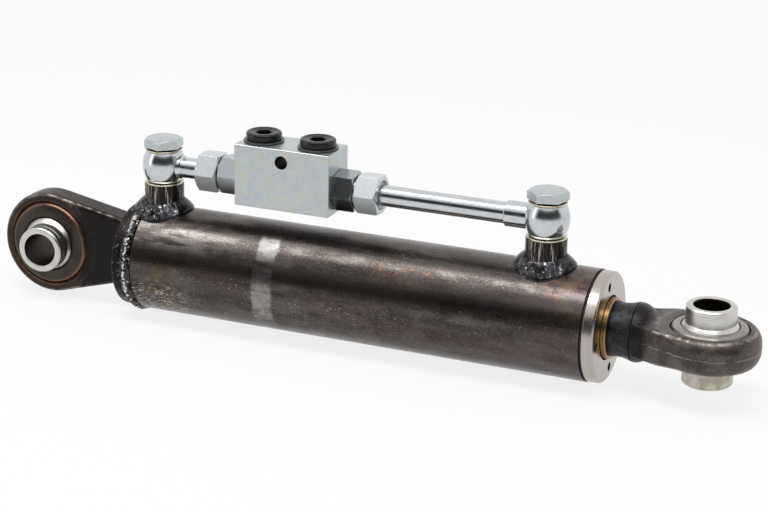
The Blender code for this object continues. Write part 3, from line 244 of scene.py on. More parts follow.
def paint_tube():
    """Raw drawn steel: lengthwise streaks, heat tints at the welds, scuffs, a wiped band and painted highlights."""
    paint = Paint("raw_tube_finish")
    streaks = paint.noise(0.007, (18, 1, 1), detail=6, rough=0.6)
    mottle = paint.noise(0.009, (2.2, 1, 1), detail=6, rough=0.6, shift=2)
    grain = paint.noise(0.0008, (1.8, 1, 1), detail=6, rough=0.75)
    clouds = paint.noise(0.03, (2, 1, 1), detail=5, shift=5)
    colour = paint.mix(paint.rise(streaks, 0.32, 0.68), (0.034, 0.028, 0.026), (0.082, 0.071, 0.066))
    colour = paint.mix(paint.rise(mottle, 0.42, 0.66, 0, 0.7), colour, (0.122, 0.106, 0.099))
    colour = paint.mix(paint.rise(clouds, 0.48, 0.72, 0, 0.5), colour, (0.080, 0.058, 0.046))
    colour = paint.mix(paint.rise(grain, 0.50, 0.68, 0, 0.5), colour, (0.160, 0.145, 0.136))
    colour = paint.mix(paint.rise(grain, 0.48, 0.34, 0, 0.5), colour, (0.022, 0.018, 0.016))
    golden = paint.math("MULTIPLY", paint.rise(paint.along, 0.108, 0.072),
                        paint.rise(paint.noise(0.016, (1.8, 1, 1), shift=3), 0.45, 0.64))
    golden = paint.math("MULTIPLY", golden, paint.rise(paint.up, 0.014, 0.0))
    colour = paint.mix(paint.math("MULTIPLY", golden, 0.6), colour, (0.140, 0.092, 0.038))
    purple = paint.math("MULTIPLY", paint.rise(paint.along, 0.270, 0.300),
                        paint.rise(paint.noise(0.014, (1.4, 1, 1), shift=7), 0.42, 0.62))
    colour = paint.mix(paint.math("MULTIPLY", purple, 0.5), colour, (0.105, 0.073, 0.080))
    # Heat tint near the rod end, kept to the upper band where the lamp's highlight lies: a real tint, partly painted
    # highlight.
    copper = paint.math("MULTIPLY", paint.rise(paint.along, 0.300, 0.326),
                        paint.rise(paint.noise(0.008, (1.3, 1, 1), detail=6, rough=0.7, shift=11), 0.46, 0.62))
    copper = paint.math("MULTIPLY", copper, paint.rise(paint.up, 0.002, 0.014))
    colour = paint.mix(paint.math("MULTIPLY", copper, 0.38), colour, (0.250, 0.165, 0.110))
    front = paint.rise(paint.across, -0.002, -0.010)
    # Painted highlight: a lighter, broken patch on the front near the base, at the height where the overhead lamp's
    # highlight lies.
    painted_highlight = paint.math("MULTIPLY", paint.near(paint.up, 0.0225, 0.003, 0.010),
                        paint.rise(paint.along, 0.150, 0.075))
    painted_highlight = paint.math("MULTIPLY", paint.math("MULTIPLY", painted_highlight, front),
                        paint.rise(paint.noise(0.0045, (5, 1, 1), detail=6, rough=0.7, shift=27), 0.42, 0.60))
    colour = paint.mix(paint.math("MULTIPLY", painted_highlight, 0.7), colour, (0.300, 0.272, 0.262))
    rust = paint.math("MULTIPLY", paint.near(paint.along, 0.233, 0.010, 0.028),
                      paint.near(paint.up, 0.0185, 0.003, 0.009))
    rust = paint.math("MULTIPLY", paint.math("MULTIPLY", rust, front),
                      paint.rise(paint.noise(0.0026, detail=6, rough=0.7, shift=21), 0.52, 0.62))
    colour = paint.mix(paint.math("MULTIPLY", rust, 0.5), colour, (0.190, 0.105, 0.048))
    # Wiped band: real wear, but painted full in the highlight's band, missing and then faint just below it, stronger
    # again lower down, so partly painted highlight.
    blurred = paint.math("ADD", paint.along, paint.math("MULTIPLY", paint.noise(0.006), 0.004))
    wiped = paint.math("MULTIPLY", paint.rise(blurred, 0.1462, 0.1484), paint.rise(blurred, 0.1602, 0.1580))
    worn = paint.rise(paint.noise(0.003, (2, 1, 1), detail=6, rough=0.7, shift=5), 0.36, 0.60, 0.35, 0.9)
    upper = paint.math("MULTIPLY", paint.rise(paint.up, 0.0157, 0.0188), paint.rise(paint.up, 0.0285, 0.0260))
    lower = paint.math("MULTIPLY", paint.rise(paint.up, 0.0140, 0.0125),
                       paint.rise(paint.up, 0.0062, 0.0036, 0.35, 0.9))
    lower = paint.math("MULTIPLY", lower, paint.rise(paint.up, -0.0250, -0.0120))
    worn = paint.math("MULTIPLY", worn, paint.math("MAXIMUM", upper, lower))
    wiped = paint.math("MULTIPLY", paint.math("MULTIPLY", wiped, front), worn)
    colour = paint.mix(wiped, colour, (0.30, 0.292, 0.285))
    dots = paint.rise(paint.noise(0.0012, detail=5, rough=0.7, shift=1), 0.655, 0.70)
    dots = paint.math("MULTIPLY", dots, paint.rise(paint.noise(0.03, (2, 1, 1), shift=13), 0.42, 0.58))
    swarm = paint.math("MULTIPLY", paint.near(paint.along, 0.200, 0.025, 0.055),
                       paint.near(paint.up, -0.007, 0.004, 0.011))
    swarm = paint.math("MULTIPLY", paint.math("MULTIPLY", swarm, front),
                       paint.rise(paint.noise(0.0009, (1.5, 1, 1), detail=4, rough=0.7, shift=23), 0.61, 0.68))
    swarm = paint.math("MULTIPLY", swarm, paint.rise(paint.noise(0.010, (2, 1, 1), shift=29), 0.40, 0.56))
    dots = paint.math("MAXIMUM", dots, paint.math("MULTIPLY", swarm, 0.8))
    near_base = paint.rise(paint.along, 0.120, 0.080)
    low = paint.math("MULTIPLY", paint.rise(paint.up, -0.001, -0.012), paint.rise(paint.across, 0.0, -0.012))
    scratched = paint.rise(paint.noise(0.0008, (4.5, 1, 1), detail=6, rough=0.78, shift=9), 0.555, 0.60)
    chafed = paint.math("MULTIPLY", paint.math("MULTIPLY", near_base, low), scratched)
    marks = paint.math("MAXIMUM", dots, chafed)
    colour = paint.mix(marks, colour, (0.66, 0.62, 0.58))
    pits = paint.rise(paint.noise(0.0013, shift=17), 0.73, 0.76)
    colour = paint.mix(paint.math("MULTIPLY", pits, 0.8), colour, (0.012, 0.010, 0.009))
    rough = paint.rise(grain, 0.35, 0.65, 0.31, 0.23)
    rough = paint.math("SUBTRACT", rough, paint.rise(mottle, 0.48, 0.64, 0, 0.05))
    rough = paint.math("ADD", rough, paint.math("MULTIPLY", wiped, 0.10))
    normal = paint.bump(grain, 0.00005)
    normal = paint.bump(paint.math("ADD", streaks, mottle), 0.00006, normal)
    return paint.done(colour, 0.95, rough, normal)


def paint_forging(name, dark, light, edge, rim_radius, half, axis):
    """Forged steel with scale, fine pits and worn, lighter rims."""
    paint = Paint(name, axis)
    clouds = paint.noise(0.010, detail=5)
    grain = paint.noise(0.0010, detail=6, rough=0.75)
    colour = paint.mix(paint.rise(clouds, 0.35, 0.7), dark, light)
    colour = paint.mix(paint.rise(grain, 0.50, 0.68, 0, 0.45), colour, [tone * 1.7 for tone in light])
    colour = paint.mix(paint.rise(grain, 0.46, 0.34, 0, 0.5), colour, [tone * 0.5 for tone in dark])
    side = paint.math("ABSOLUTE", paint.along)
    rim = paint.math("MULTIPLY", paint.near(paint.radius, rim_radius, 0.0006, 0.0022),
                     paint.rise(side, half - 0.0030, half - 0.0012))
    worn = paint.math("MULTIPLY", rim, paint.rise(paint.noise(0.004, detail=5, shift=4), 0.42, 0.62))
    colour = paint.mix(paint.math("MULTIPLY", worn, 0.3), colour, edge)
    corner = paint.math("MULTIPLY", paint.rise(side, half - 0.0020, half - 0.0010),
                        paint.rise(side, half - 0.0001, half - 0.0005))
    corner = paint.math("MULTIPLY", corner, paint.rise(paint.noise(0.004, detail=5, shift=2), 0.42, 0.6))
    colour = paint.mix(paint.math("MULTIPLY", corner, 0.6), colour, edge)
    pits = paint.rise(paint.noise(0.0009, detail=3, shift=6), 0.62, 0.7)
    normal = paint.bump(grain, 0.00010)
    normal = paint.bump(paint.math("SUBTRACT", 1.0, pits), 0.00008, normal)
    return paint, colour, paint.rise(clouds, 0.3, 0.7, 0.32, 0.42), normal


def paint_base_forging():
    """The base end: dark scale, a brown ring round the race and black weld spatter at the cap."""
    paint, colour, rough, normal = paint_forging(
        "forged_base_finish", (0.024, 0.019, 0.017), (0.052, 0.041, 0.035), (0.33, 0.29, 0.26),
        0.0306, BASE_PLATE_HALF, "Y")
    brown = paint.math("MULTIPLY", paint.rise(paint.radius, 0.0305, 0.0275),
                       paint.rise(paint.noise(0.009, shift=3), 0.35, 0.65, 0.3, 0.9))
    colour = paint.mix(brown, colour, (0.042, 0.029, 0.023))
    copper = paint.math("MULTIPLY", paint.rise(paint.radius, 0.0268, 0.0259),
                        paint.rise(paint.noise(0.012, shift=6), 0.3, 0.6, 0.2, 0.7))
    colour = paint.mix(copper, colour, (0.20, 0.115, 0.070))
    away = paint.math("MULTIPLY", paint.rise(paint.up, 0.0165, 0.0240),
                      paint.rise(paint.math("ABSOLUTE", paint.along), BASE_PLATE_HALF - 0.0010,
                                 BASE_PLATE_HALF - 0.0002, 0.45, 0.93))
    colour = paint.mix(away, colour, (0.014, 0.012, 0.012))
    spatter = paint.math("MULTIPLY", paint.rise(paint.radius, 0.0535, 0.0555),
                         paint.rise(paint.noise(0.0018, detail=4, rough=0.6, shift=12), 0.63, 0.67))
    colour = paint.mix(spatter, colour, (0.42, 0.40, 0.38))
    return paint.done(colour, 0.88, rough, normal)


def paint_rod_forging():
    """The rod eye, with the bright line that the forging dies left at its middle."""
    paint, colour, rough, normal = paint_forging(
        "forged_eye_finish", (0.056, 0.047, 0.043), (0.122, 0.105, 0.096), (0.38, 0.34, 0.31),
        0.0278, ROD_EYE_HALF, "Z")
    wave = paint.math("MULTIPLY", paint.math("SUBTRACT", paint.noise(0.010, detail=5), 0.5), 0.0022)
    height = paint.math("ABSOLUTE", paint.math("ADD", paint.along, wave))
    line = paint.math("MULTIPLY", paint.rise(height, 0.00040, 0.00014),
                      paint.rise(paint.noise(0.003, detail=5, shift=8), 0.40, 0.54))
    line = paint.math("MULTIPLY", line, paint.rise(paint.across, -0.036, -0.032))
    colour = paint.mix(paint.math("MULTIPLY", line, 0.5), colour, (0.40, 0.36, 0.32))
    neck = paint.rise(paint.across, -0.0285, -0.0330)
    colour = paint.mix(paint.math("MULTIPLY", neck, 0.9), colour, (0.016, 0.015, 0.017))
    return paint.done(colour, 0.90, rough, normal)


def paint_race(name, base, edge, edge_start, edge_end, mouth, rough):
    """Turned bearing ring: fine circles, a differently coloured outer edge and painted shadow in the gap round the
    ball.
    """
    paint = Paint(name)
    marks = paint.rings(0.0005)
    clouds = paint.noise(0.009)
    colour = paint.mix(paint.rise(marks, 0.3, 0.7, 0, 0.5), base, [tone * 1.5 for tone in base])
    colour = paint.mix(paint.rise(clouds, 0.4, 0.7, 0, 0.45), colour, [tone * 0.55 for tone in base])
    # Outer edge colour: copper on the base race; on the rod race a dark colour, painted shade in the groove between
    # race and eye.
    outer = paint.math("MULTIPLY", paint.rise(paint.radius, edge_start, edge_end),
                       paint.rise(clouds, 0.3, 0.55, 0.4, 1))
    colour = paint.mix(outer, colour, edge)
    # Painted shadow: near black at the mouth, in the gap between race and ball.
    colour = paint.mix(paint.rise(paint.radius, mouth + 0.0004, mouth), colour, (0.007, 0.006, 0.006))
    return paint.done(colour, 0.92, paint.rise(clouds, 0.3, 0.7, rough, rough + 0.08),
                      paint.bump(marks, 0.00002))


def paint_ball(name, stained):
    """Bright brushed ball with a yellowish patina and a dark bore; stained dims its far collar."""
    paint = Paint(name)
    marks = paint.rings(0.0005)
    clouds = paint.noise(0.006, detail=5)
    stains = paint.noise(0.0016, detail=5, rough=0.7, shift=3)
    colour = paint.mix(paint.rise(marks, 0.3, 0.7), (0.52, 0.52, 0.50), (0.68, 0.67, 0.65))
    colour = paint.mix(paint.rise(clouds, 0.48, 0.72, 0, 0.45), colour, (0.50, 0.43, 0.28))
    colour = paint.mix(paint.rise(stains, 0.60, 0.74, 0, 0.6), colour, (0.26, 0.23, 0.19))
    if stained:
        foot = paint.math("MULTIPLY", paint.rise(paint.along, -0.0105, -0.0125),
                          paint.rise(clouds, 0.35, 0.65, stained * 0.5, stained))
        colour = paint.mix(foot, colour, (0.31, 0.27, 0.19))
    inside = paint.rise(paint.radius, PIN_BORE_RADIUS + 0.0005, PIN_BORE_RADIUS + 0.0001)
    colour = paint.mix(inside, colour, (0.050, 0.040, 0.032))
    rough = paint.math("ADD", paint.rise(clouds, 0.3, 0.7, 0.28, 0.36),
                       paint.math("MULTIPLY", inside, 0.1))
    return paint.done(colour, 1.0, rough, paint.bump(marks, 0.00002))


def paint_turned(name, low, high, rough, depth, mark=0.0005, smear=0.0):
    """Turned metal: tone and height change in fine rings about the piece's axis."""
    paint = Paint(name)
    marks = paint.rings(mark)
    smears = paint.noise(0.006, detail=5)
    colour = paint.mix(paint.rise(marks, 0.3, 0.7), low, high)
    colour = paint.mix(paint.rise(smears, 0.45, 0.75, 0, smear), colour, [tone * 0.6 for tone in low])
    return paint.done(colour, 1.0, paint.rise(smears, 0.3, 0.7, rough - 0.02, rough + 0.04),
                      paint.bump(marks, depth))


def paint_wiper():
    """Bronze-coloured wiper, with painted shade on the part that sits in the gland's pocket."""
    paint = Paint("wiper_bronze_finish")
    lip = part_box("wiper_ring")[1].x
    marks = paint.rings(0.0004)
    colour = paint.mix(paint.rise(marks, 0.3, 0.7), (0.25, 0.150, 0.060), (0.40, 0.26, 0.115))
    # Painted shade: dark from just outside the gland's face inwards, where the pocket shades the wiper.
    colour = paint.mix(paint.rise(paint.along, lip - 0.0024, lip - 0.0036), colour, (0.018, 0.014, 0.011))
    return paint.done(colour, 0.95, 0.28, paint.bump(marks, 0.00001))


def paint_chrome():
    """Chromed rod that the weld's heat has blackened beside the eye."""
    paint = Paint("chromed_rod_finish")
    marks = paint.rings(0.0006)
    colour = paint.mix(paint.rise(marks, 0.3, 0.7), (0.66, 0.66, 0.68), (0.74, 0.74, 0.76))
    burnt = paint.rise(paint.along, 0.3448, 0.3474)
    colour = paint.mix(burnt, colour, (0.020, 0.019, 0.020))
    return paint.done(colour, 1.0, paint.rise(burnt, 0.0, 1.0, 0.08, 0.42), paint.bump(marks, 0.000004))


def paint_weld(name, crest_x=None):
    """Weld metal: dark glossy scale, silvery crests that are painted highlights on a port weld's front, and a bright
    bead where it has one.
    """
    paint = Paint(name)
    lumps = paint.noise(0.0034, detail=2, rough=0.5)
    glints = paint.noise(0.0024, detail=3, rough=0.5, shift=2)
    fold = paint.near(lumps, 0.5, 0.008, 0.040)
    if crest_x is None:
        front = paint.rise(paint.across, -0.0075, -0.0125)
        colour = paint.mix(paint.rise(lumps, 0.35, 0.65), (0.018, 0.017, 0.019), (0.056, 0.055, 0.060))
        # Painted highlights: bright lines on the folds, only on the front that faces the camera and the lamp.
        shine = paint.math("MULTIPLY", fold, paint.rise(glints, 0.53, 0.61, 0, 0.85))
        shine = paint.math("MULTIPLY", shine, front)
        depth = paint.math("MULTIPLY", lumps, paint.rise(front, 0, 1, 0.06, 1))
    else:
        colour = paint.mix(paint.rise(lumps, 0.4, 0.62), (0.014, 0.013, 0.014), (0.060, 0.056, 0.056))
        blur = paint.math("MULTIPLY", paint.math("SUBTRACT", lumps, 0.5), 0.005)
        away = paint.math("ADD", paint.along, blur)
        shine = paint.math("MULTIPLY", paint.near(away, crest_x, 0.0005, 0.0013),
                           paint.rise(glints, 0.44, 0.50))
        specks = paint.math("MULTIPLY", fold, paint.rise(glints, 0.58, 0.64))
        shine = paint.math("MAXIMUM", shine, specks)
        depth = lumps
    colour = paint.mix(shine, colour, (0.62, 0.60, 0.57))
    return paint.done(colour, 0.95, paint.rise(lumps, 0.3, 0.7, 0.17, 0.28), paint.bump(depth, 0.00016))


def paint_neck():
    """Black scale on the weld behind the gland, with fine wrinkles whose creases carry painted shade."""
    paint = Paint("weld_neck_finish")
    wrinkles = paint.noise(0.0045, (1.6, 1, 1), detail=5, rough=0.6)
    grain = paint.noise(0.0008)
    crease = paint.rise(paint.math("ABSOLUTE", paint.math("SUBTRACT", wrinkles, 0.5)), 0.0, 0.022)
    colour = paint.mix(paint.rise(wrinkles, 0.35, 0.7), (0.014, 0.014, 0.016), (0.045, 0.046, 0.051))
    # Painted shade: near black along the bottoms of the wrinkle creases.
    colour = paint.mix(paint.near(wrinkles, 0.5, 0.003, 0.010), colour, (0.003, 0.003, 0.003))
    normal = paint.bump(crease, 0.00020)
    normal = paint.bump(grain, 0.00004, normal)
    return paint.done(colour, 0.5, paint.rise(wrinkles, 0.3, 0.7, 0.36, 0.5), normal)


def paint_boss():
    """Blackened boss with bright upright brush streaks."""
    paint = Paint("black_boss_finish")
    streaks = paint.noise(0.0011, (14, 1, 1), detail=4, rough=0.6)
    wide = paint.noise(0.004, (6, 1, 1), shift=3)
    shine = paint.math("MULTIPLY", paint.rise(streaks, 0.52, 0.66), paint.rise(wide, 0.42, 0.6, 0.2, 1))
    colour = paint.mix(shine, (0.022, 0.019, 0.019), (0.40, 0.37, 0.34))
    return paint.done(colour, 0.95, paint.rise(streaks, 0.3, 0.7, 0.32, 0.24),
                      paint.bump(streaks, 0.00007))


def paint_zinc(name, tone, rough, tint, grain, metallic, hole=None, under=None):
    """Zinc plate with a faint coloured mottle; hole is a dark bore along Y, under is where painted shadow fills the
    undercut below a bolt's head.
    """
    paint = Paint(name)
    colour = tone
    casts = [(0.0042, 1, (0.78, 0.92, 1.06)), (0.0036, 4, (1.01, 0.87, 1.02)), (0.0050, 9, (1.03, 1.0, 0.85))]
    for size, shift, cast in casts:
        patch = paint.rise(paint.noise(size, detail=6, rough=0.7, shift=shift), 0.46, 0.66, 0, tint)
        colour = paint.mix(patch, colour, [part * change for part, change in zip(tone, cast)])
    speckle = paint.noise(0.0009, detail=5, rough=0.75, shift=6)
    colour = paint.mix(paint.rise(speckle, 0.52, 0.72, 0, 0.5), colour, [part * 1.3 for part in tone])
    colour = paint.mix(paint.rise(speckle, 0.47, 0.32, 0, 0.5), colour, [part * 0.62 for part in tone])
    if hole:
        across, up, radius = hole
        offset = paint.math("SUBTRACT", paint.up, up)
        reach = paint.math("SUBTRACT", paint.along, across)
        away = paint.math("SQRT", paint.math("ADD", paint.math("MULTIPLY", offset, offset),
                                             paint.math("MULTIPLY", reach, reach)))
        colour = paint.mix(paint.rise(away, radius + 0.00025, radius + 0.0001), colour, (0.012, 0.010, 0.008))
    # Painted shadow: near black below the height of the bolt head's underside.
    if under:
        colour = paint.mix(paint.rise(paint.along, under + 0.0001, under), colour, (0.008, 0.007, 0.006))
    return paint.done(colour, metallic, paint.rise(speckle, 0.3, 0.7, rough + 0.04, rough - 0.03),
                      paint.bump(speckle, grain))


def paint_polished(name, rough):
    """Polished zinc of the banjo eyes and the pipe, with fine handling marks."""
    paint = Paint(name)
    marks = paint.noise(0.0012, (5, 1, 1), detail=5, rough=0.7)
    clouds = paint.noise(0.007)
    colour = paint.mix(paint.rise(marks, 0.35, 0.7), (0.52, 0.54, 0.56), (0.61, 0.63, 0.65))
    colour = paint.mix(paint.rise(clouds, 0.55, 0.75, 0, 0.35), colour, (0.38, 0.43, 0.48))
    return paint.done(colour, 1.0, paint.rise(clouds, 0.3, 0.7, rough, rough + 0.07),
                      paint.bump(marks, 0.000005))


def paint_plastic(name, colour, rough, coat=0.0):
    """Moulded plastic or rubber with a faint grain and dusty tone."""
    paint = Paint(name)
    grain = paint.noise(0.0009, detail=4)
    clouds = paint.noise(0.005)
    tone = paint.mix(paint.rise(clouds, 0.35, 0.7), colour, [part * 1.5 for part in colour])
    return paint.done(tone, 0.0, paint.rise(grain, 0.3, 0.7, rough - 0.04, rough + 0.06),
                      paint.bump(grain, 0.00001), Specular_IOR_Level=PLASTIC_SPECULAR,
                      Coat_Weight=coat, Coat_Roughness=0.15)


# Shapes

def rounded(outline, radius, closed):
    """The outline with a short arc at each corner."""
    points = []
    for index, point in enumerate(outline):
        corner = Vector(point)
        if not closed and index in (0, len(outline) - 1):
            points.append(tuple(corner))
            continue
        before = Vector(outline[index - 1]) - corner
        after = Vector(outline[(index + 1) % len(outline)]) - corner
        if before.angle(after) > STRAIGHT:
            points.append(tuple(corner))
            continue
        cut = min(radius, before.length * CUT_SHARE, after.length * CUT_SHARE)
        start = corner + before.normalized() * cut
        end = corner + after.normalized() * cut
        for step in range(ROUND_STEPS + 1):
            share = step / ROUND_STEPS
            points.append(tuple(start * (1 - share) ** 2 + corner * 2 * share * (1 - share) + end * share ** 2))
    return points


def turned(outline, steps=MID_STEPS, soft=EDGE_SOFT):
    """Turn an outline of (along, radius) points about X, with its corners softened."""
    closed = min(radius for _, radius in outline) > 0
    points = rounded(outline, soft, closed)
    mesh = bmesh.new()
    corners = [mesh.verts.new((along, radius, 0)) for along, radius in points]
    pairs = list(zip(corners, corners[1:]))
    if closed:
        pairs.append((corners[-1], corners[0]))
    edges = [mesh.edges.new(pair) for pair in pairs]
    bmesh.ops.spin(mesh, geom=corners + edges, cent=(0, 0, 0), axis=(1, 0, 0), angle=2 * math.pi, steps=steps)
    bmesh.ops.remove_doubles(mesh, verts=mesh.verts, dist=1e-6)
    bmesh.ops.recalc_face_normals(mesh, faces=mesh.faces)
    return mesh


def bar(start, end, radius):
    """Outline of a solid round bar."""
    return [(start, 0), (start, radius), (end, radius), (end, 0)]


def ring(start, end, inner, outer):
    """Outline of a square-edged ring."""
    return [(start, inner), (start, outer), (end, outer), (end, inner)]


def arc(radius, start, end, steps=24):
    """Points (along, radius) of a circle about the origin, from one place along it to another."""
    first = math.asin(start / radius)
    last = math.asin(end / radius)
    angles = [first + (last - first) * step / steps for step in range(steps + 1)]
    return [(radius * math.sin(angle), radius * math.cos(angle)) for angle in angles]


def loft(loops, closed=False):
    """Skin loops of equally many points; a closed loft joins the last loop to the first."""
    mesh = bmesh.new()
    rows = [[mesh.verts.new(point) for point in loop] for loop in loops]
    spans = list(zip(rows, rows[1:]))
    if closed:
        spans.append((rows[-1], rows[0]))
    else:
        mesh.faces.new(rows[0])
        mesh.faces.new(rows[-1])
    for near, far in spans:
        for index, corner in enumerate(near):
            mesh.faces.new((near[index - 1], corner, far[index], far[index - 1]))
    bmesh.ops.recalc_face_normals(mesh, faces=mesh.faces)
    return mesh


def hexagon(start, end, flats):
    """A hexagonal bar along X with two corners on the Y axis."""
    corner = flats / math.sqrt(3)
    angles = [math.pi / 3 * step for step in range(6)]
    section = [(corner * math.cos(angle), corner * math.sin(angle)) for angle in angles]
    return loft([[(along, y, z) for y, z in section] for along in (start, end)])


def moved(mesh, turn=(0, 0, 0), at=(0, 0, 0)):
    """The same mesh, turned and shifted."""
    matrix = Matrix.Translation(at) @ Euler([math.radians(angle) for angle in turn]).to_matrix().to_4x4()
    mesh.transform(matrix)
    return mesh


def make(name, mesh, paint=None, turn=(0, 0, 0), at=(0, 0, 0)):
    """Give a bmesh a name, a finish and a place."""
    data = bpy.data.meshes.new(name)
    mesh.to_mesh(data)
    mesh.free()
    piece = bpy.data.objects.new(name, data)
    if paint:
        data.materials.append(paint)
    piece.rotation_euler = [math.radians(angle) for angle in turn]
    piece.location = at
    bpy.context.scene.collection.objects.link(piece)
    return piece


def bake(piece):
    """Turn a piece's modifiers into its mesh."""
    graph = bpy.context.evaluated_depsgraph_get()
    mesh = bpy.data.meshes.new_from_object(piece.evaluated_get(graph))
    piece.modifiers.clear()
    piece.data = mesh
    return piece


def combine(piece, mesh, turn=(0, 0, 0), at=(0, 0, 0), operation="DIFFERENCE"):
    """Cut, join or intersect a piece with another closed mesh."""
    tool = make("tool", mesh, None, turn, at)
    modifier = piece.modifiers.new("combine", "BOOLEAN")
    modifier.operation = operation
    modifier.object = tool
    bake(piece)
    bpy.data.objects.remove(tool, do_unlink=True)
    return piece


def forge(name, meshes, paint, at, voxel, passes):
    """Melt closed meshes into one forged body with soft inner corners."""
    whole = bmesh.new()
    for mesh in meshes:
        data = bpy.data.meshes.new("part")
        mesh.to_mesh(data)
        mesh.free()
        whole.from_mesh(data)
        bpy.data.meshes.remove(data)
    piece = make(name, whole, paint, (0, 0, 0), at)
    remesh = piece.modifiers.new("melt", "REMESH")
    remesh.mode = "VOXEL"
    remesh.voxel_size = voxel
    soft = piece.modifiers.new("soft", "SMOOTH")
    soft.factor = 0.5
    soft.iterations = passes
    return bake(piece)


def settle(piece, node, sharp=SHARP_ANGLE):
    """Shade a piece, put it on its body and let it stand for its CAD node."""
    piece.data.shade_smooth()
    piece.data.set_sharp_from_angle(angle=sharp)
    weighted = piece.modifiers.new("even_normals", "WEIGHTED_NORMAL")
    weighted.keep_sharp = True
    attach(piece, BODIES[node])
    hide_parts(node)
    return piece


def add_turned(node, outline, paint, turn=(0, 0, 0), at=(0, 0, 0), steps=MID_STEPS, soft=EDGE_SOFT):
    """A turned piece that stands for a CAD node."""
    return settle(make(f"{node}_fine", turned(outline, steps, soft), paint, turn, at), node)


UPRIGHT = (0, -90, 0)
CROSSWISE = (0, 0, 90)


# Cylinder tube and base end

def make_tube(paint):
    low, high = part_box("barrel_tube")
    root = 0.027
    bevel = high.y - root
    outline = [(low.x, BORE_RADIUS), (low.x, root), (low.x + bevel, high.y), (high.x, high.y),
               (high.x, BORE_RADIUS + 0.0015), (high.x - 0.0151, BORE_RADIUS + 0.0015),
               (high.x - 0.0151, BORE_RADIUS)]
    add_turned("barrel_tube", outline, paint, steps=BIG_STEPS)


def eye_outline(radius, root_distance, root_half_width, inset, steps):
    """Plan of an eye: an arc about the origin and two tangents that run to the root."""
    tangent = math.atan2(root_half_width, root_distance)
    tangent += math.acos(radius / math.hypot(root_distance, root_half_width))
    sweep = 2 * (math.pi - tangent)
    angles = [tangent + sweep * step / steps for step in range(steps + 1)]
    points = [Vector(((radius - inset) * math.cos(angle), (radius - inset) * math.sin(angle)))
              for angle in angles]
    root = (radius - inset - root_distance * math.cos(tangent)) / math.sin(tangent)
    first, last = points[0], points[-1]
    low, high = Vector((root_distance, -root)), Vector((root_distance, root))
    points += [last.lerp(low, (step + 1) / ARM_STEPS) for step in range(ARM_STEPS)]
    points += [high.lerp(first, step / ARM_STEPS) for step in range(ARM_STEPS)]
    return points


def eye_plate(radius, root_distance, root_half_width, half, edge, arm_edge=None, steps=72):
    """An eye plate in XY; an edge is how far it is drawn in, its flat share and the curve's power."""
    loops = []
    quarter = [math.pi / 2 * step / 8 for step in range(9)]
    for side, angle in [(-1, angle) for angle in reversed(quarter)] + [(1, angle) for angle in quarter]:
        plans = []
        for depth, flat, power in (edge, arm_edge or edge):
            plan = eye_outline(radius, root_distance, root_half_width, depth * (1 - math.cos(angle)), steps)
            plans.append((plan, side * half * (flat + (1 - flat) * math.sin(angle) ** power)))
        (eye, eye_height), (arm, arm_height) = plans
        loop = []
        for near, far in zip(eye, arm):
            share = smooth_step(near.x, *ARM_BLEND)
            point = near.lerp(far, share)
            loop.append((point.x, point.y, eye_height + (arm_height - eye_height) * share))
        loops.append(loop)
    return loft(loops)


def bore_tool(radius, half, chamfer):
    """A cutter for a bore whose two mouths are chamfered at the plate's faces."""
    reach = half + 0.004
    mouth = radius + reach - half + chamfer
    return turned([(-reach, 0), (-reach, mouth), (chamfer - half, radius), (half - chamfer, radius),
                   (reach, mouth), (reach, 0)], BIG_STEPS, 0)


def stadium(along, half_width, half_height, corner, steps=8):
    """A rounded rectangle across X."""
    points = []
    for quarter, (side, level) in enumerate(((1, 1), (-1, 1), (-1, -1), (1, -1))):
        for step in range(steps + 1):
            angle = math.pi / 2 * (quarter + step / steps)
            points.append((along, side * (half_width - corner) + corner * math.cos(angle),
                           level * (half_height - corner) + corner * math.sin(angle)))
    return points


def make_base_end(paints):
    low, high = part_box("base_end")
    radius = -low.x
    root = CAP_FACE_X + CAP_THICKNESS / 3
    plate = eye_plate(radius, root, BASE_ROOT_HALF_HEIGHT, BASE_PLATE_HALF, BASE_EDGE)
    plate = moved(plate, (90, -BASE_PLATE_TILT, 0))
    back = CAP_FACE_X + CAP_THICKNESS
    cap = turned([(CAP_FACE_X, 0), (CAP_FACE_X, CAP_RADIUS), (back - 0.0024, CAP_RADIUS),
                  (back, 0.0278), (back, 0.0247), (high.x, 0.0247), (high.x, 0)], BIG_STEPS, 0.0012)
    foot = []
    for step in range(13):
        share = step / 12
        flare = CAP_ROOT_FILLET * (1 - math.sqrt(1 - share ** 2))
        foot.append(stadium(CAP_FACE_X - CAP_ROOT_FILLET * (1 - share), 0.0072 + flare,
                            0.0173 + flare * 0.7, 0.0024 + flare * 0.5))
    foot.append([(CAP_FACE_X + CAP_THICKNESS / 2, y, z) for _, y, z in foot[-1]])
    rise = CAP_FACE_X * math.tan(math.radians(BASE_PLATE_TILT))
    foot = moved(loft(foot), (0, 0, 0), (0, 0, rise))
    end = forge("base_end_fine", [plate, cap, foot], paints["forged_base"], (0, 0, 0), 0.00055, 4)
    race_low, race_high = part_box("base_race")
    combine(end, bore_tool(race_high.x + SEAT_GAP, BASE_PLATE_HALF, 0.0009), CROSSWISE)
    settle(end, "base_end")
    add_turned("base_race", race_outline(race_high.y, race_high.x, BASE_PLATE_HALF), paints["bearing_ring"],
               CROSSWISE, steps=BIG_STEPS)
    add_turned("base_ball", ball_outline(COLLAR_GROOVE_DEPTH), paints["ball_steel"],
               (0, 0, 90 + BASE_BALL_TURN))


